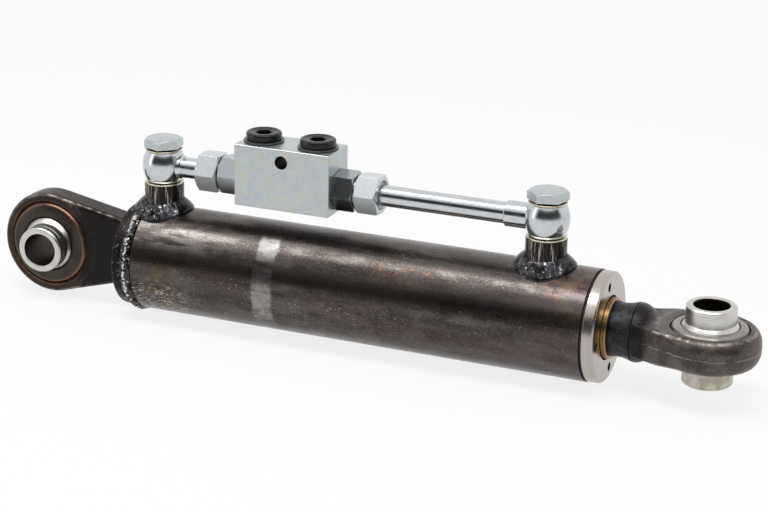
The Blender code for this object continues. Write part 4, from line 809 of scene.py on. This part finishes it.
def race_outline(half_width, outer_radius, shoulder):
    """A ring with a spherical seat, coned off towards its two faces and chamfered outside."""
    seat = arc(BALL_RADIUS + BALL_CLEARANCE, half_width, -half_width)
    rim = seat[0][1] + SEAT_GAP
    edge = RACE_CHAMFER
    crown = ((shoulder + edge * 0.2 + half_width) / 2 + RACE_CROWN, (outer_radius - edge + rim) / 2)
    near = [(shoulder - edge, outer_radius), (shoulder + edge * 0.2, outer_radius - edge), crown,
            (half_width, rim)]
    pressed = outer_radius + SEAT_GAP * 0.9
    middle = [(-shoulder / 2, outer_radius), (-shoulder * 0.4, pressed), (shoulder * 0.4, pressed),
              (shoulder / 2, outer_radius)]
    return seat + [(-along, place) for along, place in reversed(near)] + middle + near


def ball_outline(groove):
    """A ball with a collar on each side, bored through for the pin; a groove runs round each collar."""
    half = 0.022
    junction = math.sqrt(BALL_RADIUS ** 2 - COLLAR_RADIUS ** 2)
    rim = COLLAR_RADIUS - COLLAR_CHAMFER
    shoulder = half - COLLAR_CHAMFER
    bore_edge = PIN_BORE_RADIUS + 0.0005
    neck = [(shoulder, COLLAR_RADIUS)]
    if groove:
        place = half - COLLAR_GROOVE_PLACE
        neck = [(place - 0.0006, COLLAR_RADIUS), (place, COLLAR_RADIUS - groove),
                (place + 0.0002, COLLAR_RADIUS)] + neck
    right = neck + [(half, rim), (half, bore_edge), (half - 0.0005, PIN_BORE_RADIUS)]
    left = [(-along, radius) for along, radius in reversed(right)]
    return left + arc(BALL_RADIUS, -junction, junction) + right


def make_base_weld(paint):
    """The butt weld round the base: overlapping ripples on a low crown."""
    cap_back = CAP_FACE_X + CAP_THICKNESS
    low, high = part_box("base_weld")
    tube_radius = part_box("barrel_tube")[1].y
    middle = (low.x + high.x) / 2
    half = (high.x - low.x) / 2
    loops = []
    around = 600
    ripples = 62
    for step in range(around):
        angle = 2 * math.pi * step / around
        spin = Vector((0, math.cos(angle), math.sin(angle)))
        wander = 0.0008 * noise.noise(spin * 3)
        loop = []
        for number in range(21):
            across = number / 10 - 1
            crest = (1 - across ** 2) ** 0.6
            x = middle + half * across + wander * (1 - across ** 2)
            side = CAP_RADIUS + (tube_radius - CAP_RADIUS) * (across + 1) / 2
            phase = (angle * ripples / (2 * math.pi) - 1.3 * (1 - across ** 2) + 0.5 * noise.noise(spin * 9)) % 1
            spot = spin * 0.031 + Vector((x, 0, 0))
            ridge = math.exp(-((across - 0.15 + 0.3 * noise.noise(spin * 22)) / 0.22) ** 2)
            height = 0.0011 * crest + 0.0005 * crest * (1 - phase) ** 1.5 + 0.00045 * ridge
            height += crest * (0.0004 * noise.noise(spot * 420) + 0.0003 * noise.noise(spot * 900))
            loop.append((x, (side + height) * spin.y, (side + height) * spin.z))
        inner = 0.0276
        loop.append((cap_back + 0.0006, inner * spin.y, inner * spin.z))
        loops.append(loop)
    weld = make("base_weld_fine", loft(loops, closed=True), paint)
    settle(weld, "base_weld", math.radians(60))


# Gland, rod and rod eye

def make_gland(paints):
    low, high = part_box("gland")
    flange = high.y
    back = high.x - 0.0063
    thread = BORE_RADIUS + 0.0012
    pilot = BORE_RADIUS - SEAT_GAP
    bore = ROD_RADIUS + SEAT_GAP
    tube_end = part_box("barrel_tube")[1].x
    pilot_x = tube_end - 0.0151 - 0.0102
    ring_low, ring_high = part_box("gland_o_ring")
    seal_low, seal_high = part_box("rod_seal")
    guide_low, guide_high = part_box("rod_guide_ring")
    gap = 0.0002
    outline = [(low.x, bore), (low.x, 0.0205), (pilot_x, 0.0205), (pilot_x, pilot),
               (ring_low.x - gap, pilot), (ring_low.x - gap, pilot - 0.0025),
               (ring_high.x + gap, pilot - 0.0025), (ring_high.x + gap, pilot),
               (tube_end - 0.0148, pilot), (tube_end - 0.0148, thread), (back, thread), (back, flange),
               (high.x - 0.001, flange), (high.x, flange - 0.001), (high.x, 0.0178),
               (high.x - 0.0062, 0.0178), (high.x - 0.0062, bore),
               (seal_high.x + gap, bore), (seal_high.x + gap, bore + 0.0037),
               (seal_low.x - gap, bore + 0.0037), (seal_low.x - gap, bore),
               (guide_high.x + gap, bore), (guide_high.x + gap, bore + 0.0022),
               (guide_low.x - gap, bore + 0.0022), (guide_low.x - gap, bore)]
    gland = make("gland_fine", turned(outline, BIG_STEPS, 0.00025), paints["turned_steel"])
    for number in range(4):
        angle = math.radians(90 - 7.5 + 90 * number)
        at = (high.x, -0.024 * math.cos(angle), 0.024 * math.sin(angle))
        combine(gland, turned(bar(-0.005, 0.005, PIN_HOLE_RADIUS), 36, 0), (0, 0, 0), at)
    settle(gland, "gland")
    add_turned("flange_ring", ring(tube_end + gap, back - gap, thread + SEAT_GAP, flange - SEAT_GAP),
               paints["black_rubber"], steps=BIG_STEPS)
    wiper_low, wiper_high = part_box("wiper_ring")
    lip = wiper_high.x
    running = ROD_RADIUS + 0.0002
    wiper = [(wiper_low.x, running), (wiper_low.x, 0.0175), (high.x - 0.001, 0.0175),
             (high.x - 0.0005, 0.0169), (lip - 0.0005, 0.0169), (lip, 0.0164), (lip, running)]
    add_turned("wiper_ring", wiper, paints["wiper_bronze"], soft=0.0002)


def make_rod(paints):
    low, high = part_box("piston_rod")
    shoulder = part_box("piston")[1].x + SEAT_GAP
    root = 0.010
    outline = [(low.x, 0), (low.x, 0.0098), (shoulder, 0.0098), (shoulder, ROD_RADIUS),
               (high.x - (ROD_RADIUS - root), ROD_RADIUS), (high.x, root), (high.x, 0)]
    add_turned("piston_rod", outline, paints["chromed_rod"])
    weld_low, weld_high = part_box("rod_weld")
    left, right = weld_low.x, weld_high.x
    outline = [(left, ROD_RADIUS), (left + 0.0012, ROD_RADIUS + 0.0001)]
    for step in range(1, 12):
        share = step / 12
        radius = ROD_RADIUS + (ROD_SHANK_RADIUS - ROD_RADIUS) * share ** 1.6
        outline.append((left + (right - left) * share, radius - 0.0006 * math.sin(math.pi * share)))
    outline += [(right, ROD_SHANK_RADIUS), (0.3549, 0.0106), (0.3527, 0.0106)]
    weld = make("rod_weld_fine", turned(outline, BIG_STEPS, 0.0002), paints["weld_neck"])
    for vertex in weld.data.vertices:
        out = Vector((0, vertex.co.y, vertex.co.z))
        if out.length > ROD_RADIUS - 0.0002 and vertex.co.x > left + 0.0004:
            lump = noise.noise(Vector((vertex.co.x, out.y, out.z)) * 170)
            vertex.co += out.normalized() * 0.00022 * lump
    settle(weld, "rod_weld", math.radians(50))


def make_rod_eye(paints):
    low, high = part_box("rod_eye")
    ball_low, ball_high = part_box("rod_ball")
    eye_x = (ball_low.x + ball_high.x) / 2
    radius = high.x - eye_x
    shank_chamfer = ROD_SHANK_RADIUS - 0.010
    dome_x = low.x + shank_chamfer + SEAT_GAP
    plate = eye_plate(radius, eye_x - dome_x, ROD_ARM_HALF_WIDTH, ROD_EYE_HALF, ROD_EYE_EDGE, ROD_ARM_EDGE)
    plate = moved(plate, (0, 0, 180))
    dome = [(low.x, 0), (low.x, 0.010), (dome_x - SEAT_GAP, ROD_SHANK_RADIUS), (dome_x, ROD_SHANK_RADIUS)]
    for step in range(1, 16):
        angle = math.pi / 2 * step / 16
        dome.append((dome_x + ROD_DOME_LENGTH * math.sin(angle), ROD_SHANK_RADIUS * math.cos(angle)))
    dome.append((dome_x + ROD_DOME_LENGTH, 0))
    dome = moved(turned(dome, BIG_STEPS, 0.0002), (0, 0, 0), (-eye_x, 0, 0))
    eye = forge("rod_eye_fine", [plate, dome], paints["forged_eye"], (eye_x, 0, 0), 0.00045, 2)
    for vertex in eye.data.vertices:
        out = Vector((vertex.co.x, vertex.co.y, 0))
        wave = 0.0007 * noise.noise(out * 90)
        if abs(vertex.co.z - wave) < 0.0005 and vertex.co.x > -0.030:
            vertex.co += out.normalized() * 0.00012
    race_low, race_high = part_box("rod_race")
    combine(eye, bore_tool(race_high.y + SEAT_GAP, ROD_EYE_HALF, 0.0007), UPRIGHT, (eye_x, 0, 0))
    settle(eye, "rod_eye")
    add_turned("rod_race", race_outline(race_high.z, race_high.y, ROD_EYE_HALF), paints["race_steel"],
               UPRIGHT, (eye_x, 0, 0), BIG_STEPS)
    add_turned("rod_ball", ball_outline(0), paints["rod_ball_steel"], UPRIGHT, (eye_x, 0, 0))


# Oil ports

BOLT_HEAD_TURNS = {"base": 10, "rod": -14}
ADAPTER_TURNS = {"base": 5, "rod": 8}
NUT_TURNS = {"base": 1, "rod": -4}


def port_x(side):
    low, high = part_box(f"port_boss_{side}")
    return (low.x + high.x) / 2


def make_port_weld(side, paint):
    """A fillet whose toe follows the tube, folded in front, where its finish paints highlights, smooth behind."""
    boss_low, boss_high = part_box(f"port_boss_{side}")
    weld_low, weld_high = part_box(f"port_weld_{side}")
    centre = (weld_low.x + weld_high.x) / 2
    inner = (boss_high.x - boss_low.x) / 2 + SEAT_GAP / 2
    toe = (weld_high.x - weld_low.x) / 2
    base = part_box("barrel_tube")[1].y + SEAT_GAP / 3
    loops = []
    around = 260
    for step in range(around):
        angle = 2 * math.pi * step / around
        front = smooth_step(-math.sin(angle), 0.2, 0.85)
        loop = [(inner, 0.0)]
        for number in range(19):
            share = number / 18
            radius = inner + (toe - inner) * share
            bulge = math.sin(math.pi * share)
            spot = Vector((radius * math.cos(angle), radius * math.sin(angle), PORT_WELD_SEEDS[side]))
            fold = 1 - 2.4 * abs(noise.noise(spot * 210))
            lift = 0.0063 * (1 - share) + 0.0011 * share + 0.0004 * bulge
            lift += bulge * (0.00010 * noise.noise(spot * 260) + front * 0.0009 * (fold - 0.55))
            lift += bulge * front * 0.00014 * noise.noise(spot * 520)
            loop.append((radius + front * 0.0004 * noise.noise(spot * 300) * share, lift))
        loop.append((toe, 0.0))
        section = []
        for radius, lift in loop:
            y = radius * math.sin(angle)
            section.append((radius * math.cos(angle), y, math.sqrt(base ** 2 - y ** 2) + lift))
        loops.append(section)
    weld = make(f"port_weld_{side}_fine", loft(loops, closed=True), paint, (0, 0, 0), (centre, 0, 0))
    settle(weld, f"port_weld_{side}", math.radians(70))


def make_banjo(side, paints):
    """The round banjo eye and its stub or socket."""
    node = f"banjo_body_{side}"
    low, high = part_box(node)
    half = (high.z - low.z) / 2
    z = (high.z + low.z) / 2
    x = port_x(side)
    radius = high.y
    outline = [(-half, BANJO_BORE_RADIUS)]
    for step in range(BANJO_STEPS + 1):
        share = 2 * step / BANJO_STEPS - 1
        squares = radius ** 2 - (radius ** 2 - BANJO_NECK_RADIUS ** 2) * share ** 2
        outline.append((half * share, math.sqrt(squares)))
    outline.append((half, BANJO_BORE_RADIUS))
    body = make(f"{node}_fine", moved(turned(outline, MID_STEPS), UPRIGHT), paints["polished_zinc"],
                (0, 0, 0), (x, 0, z))
    inside = BANJO_BORE_RADIUS + 0.001
    if side == "base":
        stub = [(inside, PIPE_BORE_RADIUS), (inside, 0.0068), (radius + 0.0002, 0.0068),
                (radius + 0.0010, 0.006), (high.x - x, 0.006), (high.x - x, PIPE_BORE_RADIUS)]
        turn = (0, 0, 0)
    else:
        end = x - low.x
        stub = [(inside, PIPE_BORE_RADIUS), (inside, 0.0072), (end - 0.0004, 0.0072), (end, 0.0068),
                (end, 0.0063), (end - 0.009, 0.0063), (end - 0.009, PIPE_BORE_RADIUS)]
        turn = (0, 0, 180)
    combine(body, moved(turned(stub, SMALL_STEPS), turn, (x, 0, z)), operation="UNION")
    settle(body, node)


def hex_limits(start, end, flats, cut_start, cut_end):
    """The turned shape that takes the corners off a hexagon's ends."""
    corner = flats / math.sqrt(3) + 0.001
    face = flats / 2 - 0.0003
    depth = (corner - face) * math.tan(math.radians(30))
    outline = [(start, 0), (start, face), (start + depth, corner)] if cut_start else [(start - 0.001, 0), (start - 0.001, corner)]
    outline += [(end - depth, corner), (end, face), (end, 0)] if cut_end else [(end + 0.001, corner), (end + 0.001, 0)]
    return outline


def hex_piece(name, start, end, flats, cut_start, cut_end, paint, turn, at):
    """A hexagon along its own X with chamfered corners."""
    piece = make(name, hexagon(start, end, flats), paint, turn, at)
    limits = turned(hex_limits(start, end, flats, cut_start, cut_end), 96, 0)
    return combine(piece, limits, turn, at, "INTERSECT")


def soften_edges(piece, width=0.00018):
    """Round a piece's sharp edges, so that they catch the light."""
    bevel = piece.modifiers.new("soft_edges", "BEVEL")
    bevel.width = width
    bevel.segments = 2
    bevel.limit_method = "ANGLE"
    bevel.angle_limit = math.radians(32)
    return bake(piece)


def make_banjo_bolt(side, paints):
    node = f"banjo_bolt_{side}"
    low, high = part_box(node)
    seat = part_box(f"upper_washer_{side}")[1].z + SEAT_GAP
    turn = (0, -90, BOLT_HEAD_TURNS[side])
    at = (port_x(side), 0, 0)
    head = seat + BOLT_UNDERCUT
    bolt = hex_piece(f"{node}_fine", head, high.z, 0.020, False, True, paints["zinc_bolt"], turn, at)
    soften_edges(bolt)
    shank = [(low.z, 0.0028), (low.z, 0.0062), (low.z + 0.0006, 0.0067), (seat, 0.0067),
             (seat, BOLT_COLLAR_RADIUS), (head + 0.0005, BOLT_COLLAR_RADIUS), (head + 0.0005, 0.0028)]
    combine(bolt, turned(shank, 64, 0.0001), UPRIGHT, at, "UNION")
    settle(bolt, node)


def make_ports(paints):
    for side in ("base", "rod"):
        x = port_x(side)
        boss_low, boss_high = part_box(f"port_boss_{side}")
        radius = (boss_high.x - boss_low.x) / 2
        boss = make(f"port_boss_{side}_fine", turned(ring(0.024, boss_high.z, BANJO_BORE_RADIUS, radius), MID_STEPS),
                    paints["black_boss"], UPRIGHT, (x, 0, 0))
        saddle = turned(bar(x - 0.03, x + 0.03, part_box("barrel_tube")[1].y + SEAT_GAP / 2), BIG_STEPS, 0)
        combine(boss, saddle)
        settle(boss, f"port_boss_{side}")
        make_port_weld(side, paints["port_weld"])
        make_banjo(side, paints)
        make_banjo_bolt(side, paints)
        for level in ("lower", "upper"):
            low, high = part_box(f"{level}_washer_{side}")
            outline = ring(low.z, high.z, BANJO_BORE_RADIUS, (high.x - low.x) / 2)
            add_turned(f"{level}_washer_{side}", outline, paints["soft_washer"], UPRIGHT, (x, 0, 0),
                       SMALL_STEPS, 0.0002)


# Valve block, fittings and pipe

def fitting_frame(side):
    """Where a fitting's own X axis starts on the block and where it points."""
    low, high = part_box("valve_block")
    pipe_low, pipe_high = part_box("oil_pipe")
    z = (pipe_low.z + pipe_high.z) / 2
    if side == "base":
        return Vector((low.x, 0, z)), 180
    return Vector((high.x, 0, z)), 0


def local_span(node, side):
    """A node's start and end along its fitting's own axis."""
    low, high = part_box(node)
    at, heading = fitting_frame(side)
    if side == "base":
        return at.x - high.x, at.x - low.x
    return low.x - at.x, high.x - at.x


def make_fitting(side, paints):
    """Adapter and union nut on one end of the block, along the fitting's own axis."""
    at, heading = fitting_frame(side)
    turn = (0, 0, heading)
    start, end = local_span(f"adapter_{side}", side)
    adapter = hex_piece(f"adapter_{side}_fine", SEAT_GAP, ADAPTER_HEX_END, ADAPTER_FLATS, False, True,
                        paints["zinc_dark"], (ADAPTER_TURNS[side], 0, heading), at)
    stem = [(start, 0), (start, 0.0082), (0.0006, 0.0082), (0.0006, 0.0089), (end, 0.0089), (end, 0)]
    combine(adapter, turned(stem, SMALL_STEPS, 0.0002), turn, at, "UNION")
    hollow = [(start - 0.001, 0), (start - 0.001, 0.0053), (0.0067, 0.0053), (0.0067, 0.0035),
              (0.0154, 0.0035), (0.0154, 0.0063), (end - 0.0045, 0.0063), (end, 0.0073),
              (end + 0.001, 0.0073), (end + 0.001, 0)]
    combine(adapter, turned(hollow, SMALL_STEPS, 0), turn, at)
    soften_edges(adapter)
    settle(adapter, f"adapter_{side}")

    start, end = local_span(f"union_nut_{side}", side)
    start += NUT_START_INSET
    end -= NUT_END_INSET
    nut = hex_piece(f"union_nut_{side}_fine", start, end, NUT_FLATS, True, True, paints["zinc_steel"],
                    (NUT_TURNS[side], 0, heading), at)
    hollow = [(start - 0.001, 0), (start - 0.001, 0.0098), (start + 0.0006, 0.0092), (start + 0.0104, 0.0092),
              (start + 0.0110, 0.0064), (end - 0.0026, 0.0064), (end - 0.0018, 0.0079), (end + 0.001, 0.0086),
              (end + 0.001, 0)]
    combine(nut, turned(hollow, SMALL_STEPS, 0), turn, at)
    soften_edges(nut)
    settle(nut, f"union_nut_{side}")


def make_pipe(paints):
    low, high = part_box("oil_pipe")
    add_turned("oil_pipe", ring(low.x, high.x, PIPE_BORE_RADIUS, high.y), paints["pipe"], (0, 0, 0),
               (0, 0, (low.z + high.z) / 2), MID_STEPS)


def make_block(paints):
    low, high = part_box("valve_block")
    size = high - low
    centre = (low + high) / 2
    mesh = bmesh.new()
    bmesh.ops.create_cube(mesh, size=1)
    bmesh.ops.scale(mesh, vec=size, verts=mesh.verts)
    bmesh.ops.bevel(mesh, geom=mesh.edges, offset=0.0006, segments=3, profile=0.6, affect="EDGES")
    block = make("valve_block_fine", mesh, paints["zinc_block"], (0, 0, 0), centre)
    at, _ = fitting_frame("rod")
    half = size.x / 2
    step = half - 0.0072
    deep = step - 0.0038
    gallery = [(-half - 0.001, 0), (-half - 0.001, 0.0085), (-step, 0.0085), (-step, 0.0062), (-deep, 0.0062),
               (-deep, 0.0053), (deep, 0.0053), (deep, 0.0062), (step, 0.0062), (step, 0.0085),
               (half + 0.001, 0.0085), (half + 0.001, 0)]
    combine(block, turned(gallery, 48, 0), (0, 0, 0), (centre.x, 0, at.z))
    for node in ("port_plug_base", "port_plug_rod"):
        plug_low, plug_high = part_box(node)
        port = [(at.z - high.z, 0), (at.z - high.z, 0.002), (-0.012, 0.002), (-0.012, 0.0083),
                (-0.0006, 0.0083), (0.0003, 0.0092), (0.0003, 0)]
        combine(block, turned(port, SMALL_STEPS, 0), UPRIGHT, ((plug_low.x + plug_high.x) / 2, 0, high.z))
    hole = [(-0.03, 0), (-0.03, 0.0037), (0.03, 0.0037), (0.03, 0)]
    combine(block, turned(hole, SMALL_STEPS, 0), CROSSWISE, (centre.x, 0, high.z - 0.0074))
    soften_edges(block, 0.0002)
    settle(block, "valve_block")


def make_plugs(paints):
    block_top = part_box("valve_block")[1].z
    for side in ("base", "rod"):
        node = f"port_plug_{side}"
        low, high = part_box(node)
        at = ((low.x + high.x) / 2, 0, block_top)
        radius = (high.x - low.x) / 2
        top = high.z - block_top
        under = 0.0015
        outline = [(low.z - block_top, 0), (low.z - block_top, 0.0077), (low.z - block_top + 0.0008, 0.008),
                   (under, 0.008), (under, radius - 0.0004), (under + 0.0004, radius), (top - 0.0012, radius),
                   (top - 0.00035, radius - 0.0004), (top, radius - 0.0013), (top, radius - 0.0024),
                   (top - 0.0005, radius - 0.0034), (top - 0.0005, radius - 0.0046), (top - 0.0008, 0.0050),
                   (top - 0.0008, 0)]
        plug = make(f"{node}_fine", turned(outline, SMALL_STEPS, 0.0004), paints["plug_plastic"], UPRIGHT, at)
        combine(plug, hexagon(top - 0.0075, top + 0.001, 0.0085), UPRIGHT, at)
        settle(plug, node)
        seal_low, seal_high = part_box(f"plug_seal_{side}")
        outline = ring(seal_low.z, seal_high.z, 0.0083, (seal_high.x - seal_low.x) / 2)
        add_turned(f"plug_seal_{side}", outline, paints["seal_washer"], UPRIGHT, (at[0], 0, 0), SMALL_STEPS)


def make_springs(paint):
    """The check valves' coil springs."""
    for side in ("base", "rod"):
        node = f"poppet_spring_{side}"
        low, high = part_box(node)
        z = (low.z + high.z) / 2
        length = high.x - low.x
        coil_radius = high.y - SPRING_WIRE_RADIUS
        steps = SPRING_TURNS * SPRING_TURN_STEPS
        loops = []
        for step in range(steps + 1):
            angle = 2 * math.pi * step / SPRING_TURN_STEPS
            along = low.x + SPRING_WIRE_RADIUS + (length - 2 * SPRING_WIRE_RADIUS) * step / steps
            loop = []
            for number in range(SPRING_WIRE_STEPS):
                round_wire = 2 * math.pi * number / SPRING_WIRE_STEPS
                out = coil_radius + SPRING_WIRE_RADIUS * math.cos(round_wire)
                loop.append((along + SPRING_WIRE_RADIUS * math.sin(round_wire),
                             out * math.cos(angle), out * math.sin(angle)))
            loops.append(loop)
        spring = make(f"{node}_fine", loft(loops), paint, (0, 0, 0), (0, 0, z))
        settle(spring, node)
        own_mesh(spring)


# Pieces that keep their CAD shape

def dress_inner_nodes(paints):
    """Finish the CAD nodes that lie inside the link."""
    finishes = {"hard_steel": paints["hard_steel"], "spring_steel": paints["spring_steel"],
                "seal_plastic": paints["seal_plastic"], "guide_plastic": paints["guide_plastic"],
                "black_rubber": paints["black_rubber"], "turned_steel": paints["turned_steel"],
                "zinc_steel": paints["zinc_steel"]}
    for name, node in frame["nodes"].items():
        if node.hide_render:
            continue
        node.data.materials.clear()
        node.data.materials.append(finishes[SLOTS[name]])


def make_paints():
    return {
        "raw_tube": paint_tube(),
        "forged_base": paint_base_forging(),
        "forged_eye": paint_rod_forging(),
        "bearing_ring": paint_race("bearing_ring_finish", (0.050, 0.043, 0.035), (0.21, 0.122, 0.078),
                                   0.0224, 0.0242, 0.0166, 0.30),
        # The rod race's dark edge colour is painted shade in the groove round it.
        "race_steel": paint_race("race_steel_finish", (0.27, 0.255, 0.240), (0.10, 0.080, 0.068),
                                 0.0198, 0.0206, 0.0158, 0.28),
        "ball_steel": paint_ball("ball_steel_finish", 0),
        "rod_ball_steel": paint_ball("rod_ball_steel_finish", 0.8),
        "base_weld": paint_weld("base_weld_finish", 0.0637),
        "port_weld": paint_weld("port_weld_finish"),
        "weld_neck": paint_neck(),
        "turned_steel": paint_turned("turned_steel_finish", (0.36, 0.325, 0.30), (0.50, 0.46, 0.43), 0.24, 0.00002),
        "chromed_rod": paint_chrome(),
        "wiper_bronze": paint_wiper(),
        "black_boss": paint_boss(),
        "soft_washer": paint_turned("soft_washer_finish", (0.60, 0.55, 0.42), (0.80, 0.76, 0.62), 0.28, 0.00001),
        "polished_zinc": paint_polished("polished_zinc_finish", 0.15),
        "pipe": paint_polished("pipe_finish", 0.14),
        "zinc_steel": paint_zinc("zinc_steel_finish", (0.60, 0.63, 0.64), 0.29, 0.4, 0.000003, 0.75),
        "zinc_dark": paint_zinc("zinc_dark_finish", (0.40, 0.42, 0.43), 0.20, 0.3, 0.000002, 1.0),
        "zinc_bolt": paint_zinc("zinc_bolt_finish", (0.47, 0.505, 0.51), 0.22, 0.5, 0.000004, 0.85,
                                under=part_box("upper_washer_base")[1].z + SEAT_GAP + BOLT_UNDERCUT),
        "zinc_block": paint_zinc("zinc_block_finish", (0.50, 0.54, 0.535), 0.34, 1.0, 0.00003, 0.8,
                                 (0, BLOCK_HOLE_HEIGHT, BLOCK_HOLE_RADIUS)),
        "hard_steel": paint_turned("hard_steel_finish", (0.40, 0.40, 0.41), (0.55, 0.55, 0.56), 0.25, 0.00001),
        "spring_steel": paint_turned("spring_steel_finish", (0.34, 0.34, 0.36), (0.46, 0.46, 0.48), 0.3, 0.00001),
        "black_rubber": paint_plastic("black_rubber_finish", (0.014, 0.014, 0.014), 0.55),
        "seal_plastic": paint_plastic("seal_plastic_finish", (0.08, 0.14, 0.33), 0.4),
        "guide_plastic": paint_plastic("guide_plastic_finish", (0.55, 0.40, 0.22), 0.5),
        "plug_plastic": paint_plastic("plug_plastic_finish", (0.004, 0.004, 0.0045), 0.30, 0.05),
        "seal_washer": paint_plastic("seal_washer_finish", (0.038, 0.047, 0.045), 0.32, 0.1),
    }


# Stage

def make_world():
    """A white backdrop that is dark low in front, as camera and metal see it, and an even fill."""
    world = bpy.data.worlds.new("studio")
    bpy.context.scene.world = world
    world.use_nodes = True
    tree = world.node_tree
    tree.nodes.clear()
    new = tree.nodes.new
    link = tree.links.new
    direction = new("ShaderNodeTexCoord").outputs["Generated"]
    split = new("ShaderNodeSeparateXYZ")
    link(direction, split.inputs[0])
    forward = new("ShaderNodeVectorMath")
    forward.operation = "DOT_PRODUCT"
    link(direction, forward.inputs[0])
    forward.inputs[1].default_value = FLAG_DIRECTION

    def step(value, start, end, low=0, high=1):
        made = new("ShaderNodeMapRange")
        made.interpolation_type = "SMOOTHSTEP"
        link(value, made.inputs["Value"])
        for name, number in zip(("From Min", "From Max", "To Min", "To Max"), (start, end, low, high)):
            made.inputs[name].default_value = number
        return made.outputs[0]

    def calculate(operation, first, second):
        made = new("ShaderNodeMath")
        made.operation = operation
        for number, value in enumerate((first, second)):
            if isinstance(value, bpy.types.NodeSocket):
                link(value, made.inputs[number])
            else:
                made.inputs[number].default_value = value
        return made.outputs[0]

    front = step(forward.outputs["Value"], 0.28, 0.52)
    height = calculate("MULTIPLY", step(split.outputs[2], -0.06, 0.06), step(split.outputs[2], 0.66, 0.50))
    dark = calculate("MULTIPLY", front, height)
    backdrop = calculate("SUBTRACT", 1.0, calculate("MULTIPLY", dark, FLAG_DEPTH))
    ray = new("ShaderNodeLightPath")
    seen = calculate("MAXIMUM", ray.outputs["Is Camera Ray"], ray.outputs["Is Transmission Ray"])
    seen = calculate("MAXIMUM", seen, ray.outputs["Is Glossy Ray"])
    choose = new("ShaderNodeMix")
    choose.data_type = "RGBA"
    link(seen, choose.inputs[0])
    choose.inputs[6].default_value = (STUDIO_FILL, STUDIO_FILL, STUDIO_FILL, 1)
    link(backdrop, choose.inputs[7])
    background = new("ShaderNodeBackground")
    link(choose.outputs[2], background.inputs["Color"])
    output = new("ShaderNodeOutputWorld")
    link(background.outputs[0], output.inputs[0])


def make_floor():
    """A plain white floor that keeps a soft shadow."""
    low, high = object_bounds()
    mesh = bmesh.new()
    bmesh.ops.create_grid(mesh, x_segments=1, y_segments=1, size=30)
    material = bpy.data.materials.new("floor_finish")
    material.use_nodes = True
    tree = material.node_tree
    shader = tree.nodes["Principled BSDF"]
    shader.inputs["Base Color"].default_value = (0.88, 0.88, 0.88, 1)
    shader.inputs["Roughness"].default_value = 0.9
    ray = tree.nodes.new("ShaderNodeLightPath")
    seen = ray.outputs["Is Camera Ray"]
    for name in ("Is Glossy Ray", "Is Transmission Ray"):
        either = tree.nodes.new("ShaderNodeMath")
        either.operation = "MAXIMUM"
        tree.links.new(seen, either.inputs[0])
        tree.links.new(ray.outputs[name], either.inputs[1])
        seen = either.outputs[0]
    share = tree.nodes.new("ShaderNodeMath")
    share.operation = "MULTIPLY"
    share.inputs[1].default_value = FLOOR_GLOW_SHARE
    tree.links.new(seen, share.inputs[0])
    blend = tree.nodes.new("ShaderNodeMixShader")
    glow = tree.nodes.new("ShaderNodeEmission")
    tree.links.new(share.outputs[0], blend.inputs[0])
    tree.links.new(shader.outputs[0], blend.inputs[1])
    tree.links.new(glow.outputs[0], blend.inputs[2])
    tree.links.new(blend.outputs[0], tree.nodes["Material Output"].inputs[0])
    floor = make("floor", mesh, material, (0, 0, 0), (0, 0, low.z - 0.0005))


def add_lamp(name, at, aim, width, height, power):
    data = bpy.data.lights.new(name, "AREA")
    data.shape = "RECTANGLE"
    data.size = width
    data.size_y = height
    data.energy = power
    lamp = bpy.data.objects.new(name, data)
    lamp.location = at
    lamp.rotation_euler = (Vector(aim) - Vector(at)).to_track_quat("-Z", "Y").to_euler()
    bpy.context.scene.collection.objects.link(lamp)


def make_lamps():
    centre = (0.2, 0, 0.02)
    add_lamp("overhead", (0.15, -0.33, 1.15), centre, 1.5, 0.32, 10)
    add_lamp("left_strip", (-0.80, -0.70, 0.40), centre, 0.25, 0.9, 1.0)


def make_camera():
    yaw, pitch, roll = [math.radians(angle) for angle in (VIEW_YAW, VIEW_PITCH, VIEW_ROLL)]
    back = Vector((math.sin(yaw) * math.cos(pitch), -math.cos(yaw) * math.cos(pitch), math.sin(pitch)))
    right = (-back).cross(Vector((0, 0, 1))).normalized()
    up = right.cross(-back)
    rolled_right = math.cos(roll) * right + math.sin(roll) * up
    rolled_up = -math.sin(roll) * right + math.cos(roll) * up
    matrix = Matrix((rolled_right, rolled_up, back)).transposed().to_4x4()
    matrix.translation = VIEW_TARGET + back * VIEW_DISTANCE
    data = bpy.data.cameras.new("photo_camera")
    data.sensor_width = SENSOR_WIDTH
    data.lens = VIEW_FOCAL_PIXELS * SENSOR_WIDTH / PHOTO_WIDTH
    data.shift_x = (PHOTO_WIDTH / 2 - VIEW_AXIS_PIXEL[0]) / PHOTO_WIDTH
    data.shift_y = (VIEW_AXIS_PIXEL[1] - PHOTO_HEIGHT / 2) / PHOTO_WIDTH
    data.clip_start = 0.01
    camera = bpy.data.objects.new("photo_camera", data)
    camera.matrix_world = matrix
    bpy.context.scene.collection.objects.link(camera)
    bpy.context.scene.camera = camera


def main():
    paints = make_paints()
    make_camera()
    make_tube(paints["raw_tube"])
    make_base_end(paints)
    make_base_weld(paints["base_weld"])
    make_gland(paints)
    make_rod(paints)
    make_rod_eye(paints)
    make_ports(paints)
    for side in ("base", "rod"):
        make_fitting(side, paints)
    make_pipe(paints)
    make_block(paints)
    make_plugs(paints)
    make_springs(paints["spring_steel"])
    dress_inner_nodes(paints)
    make_world()
    make_floor()
    make_lamps()
    bpy.context.scene.view_settings.view_transform = "Standard"


main()
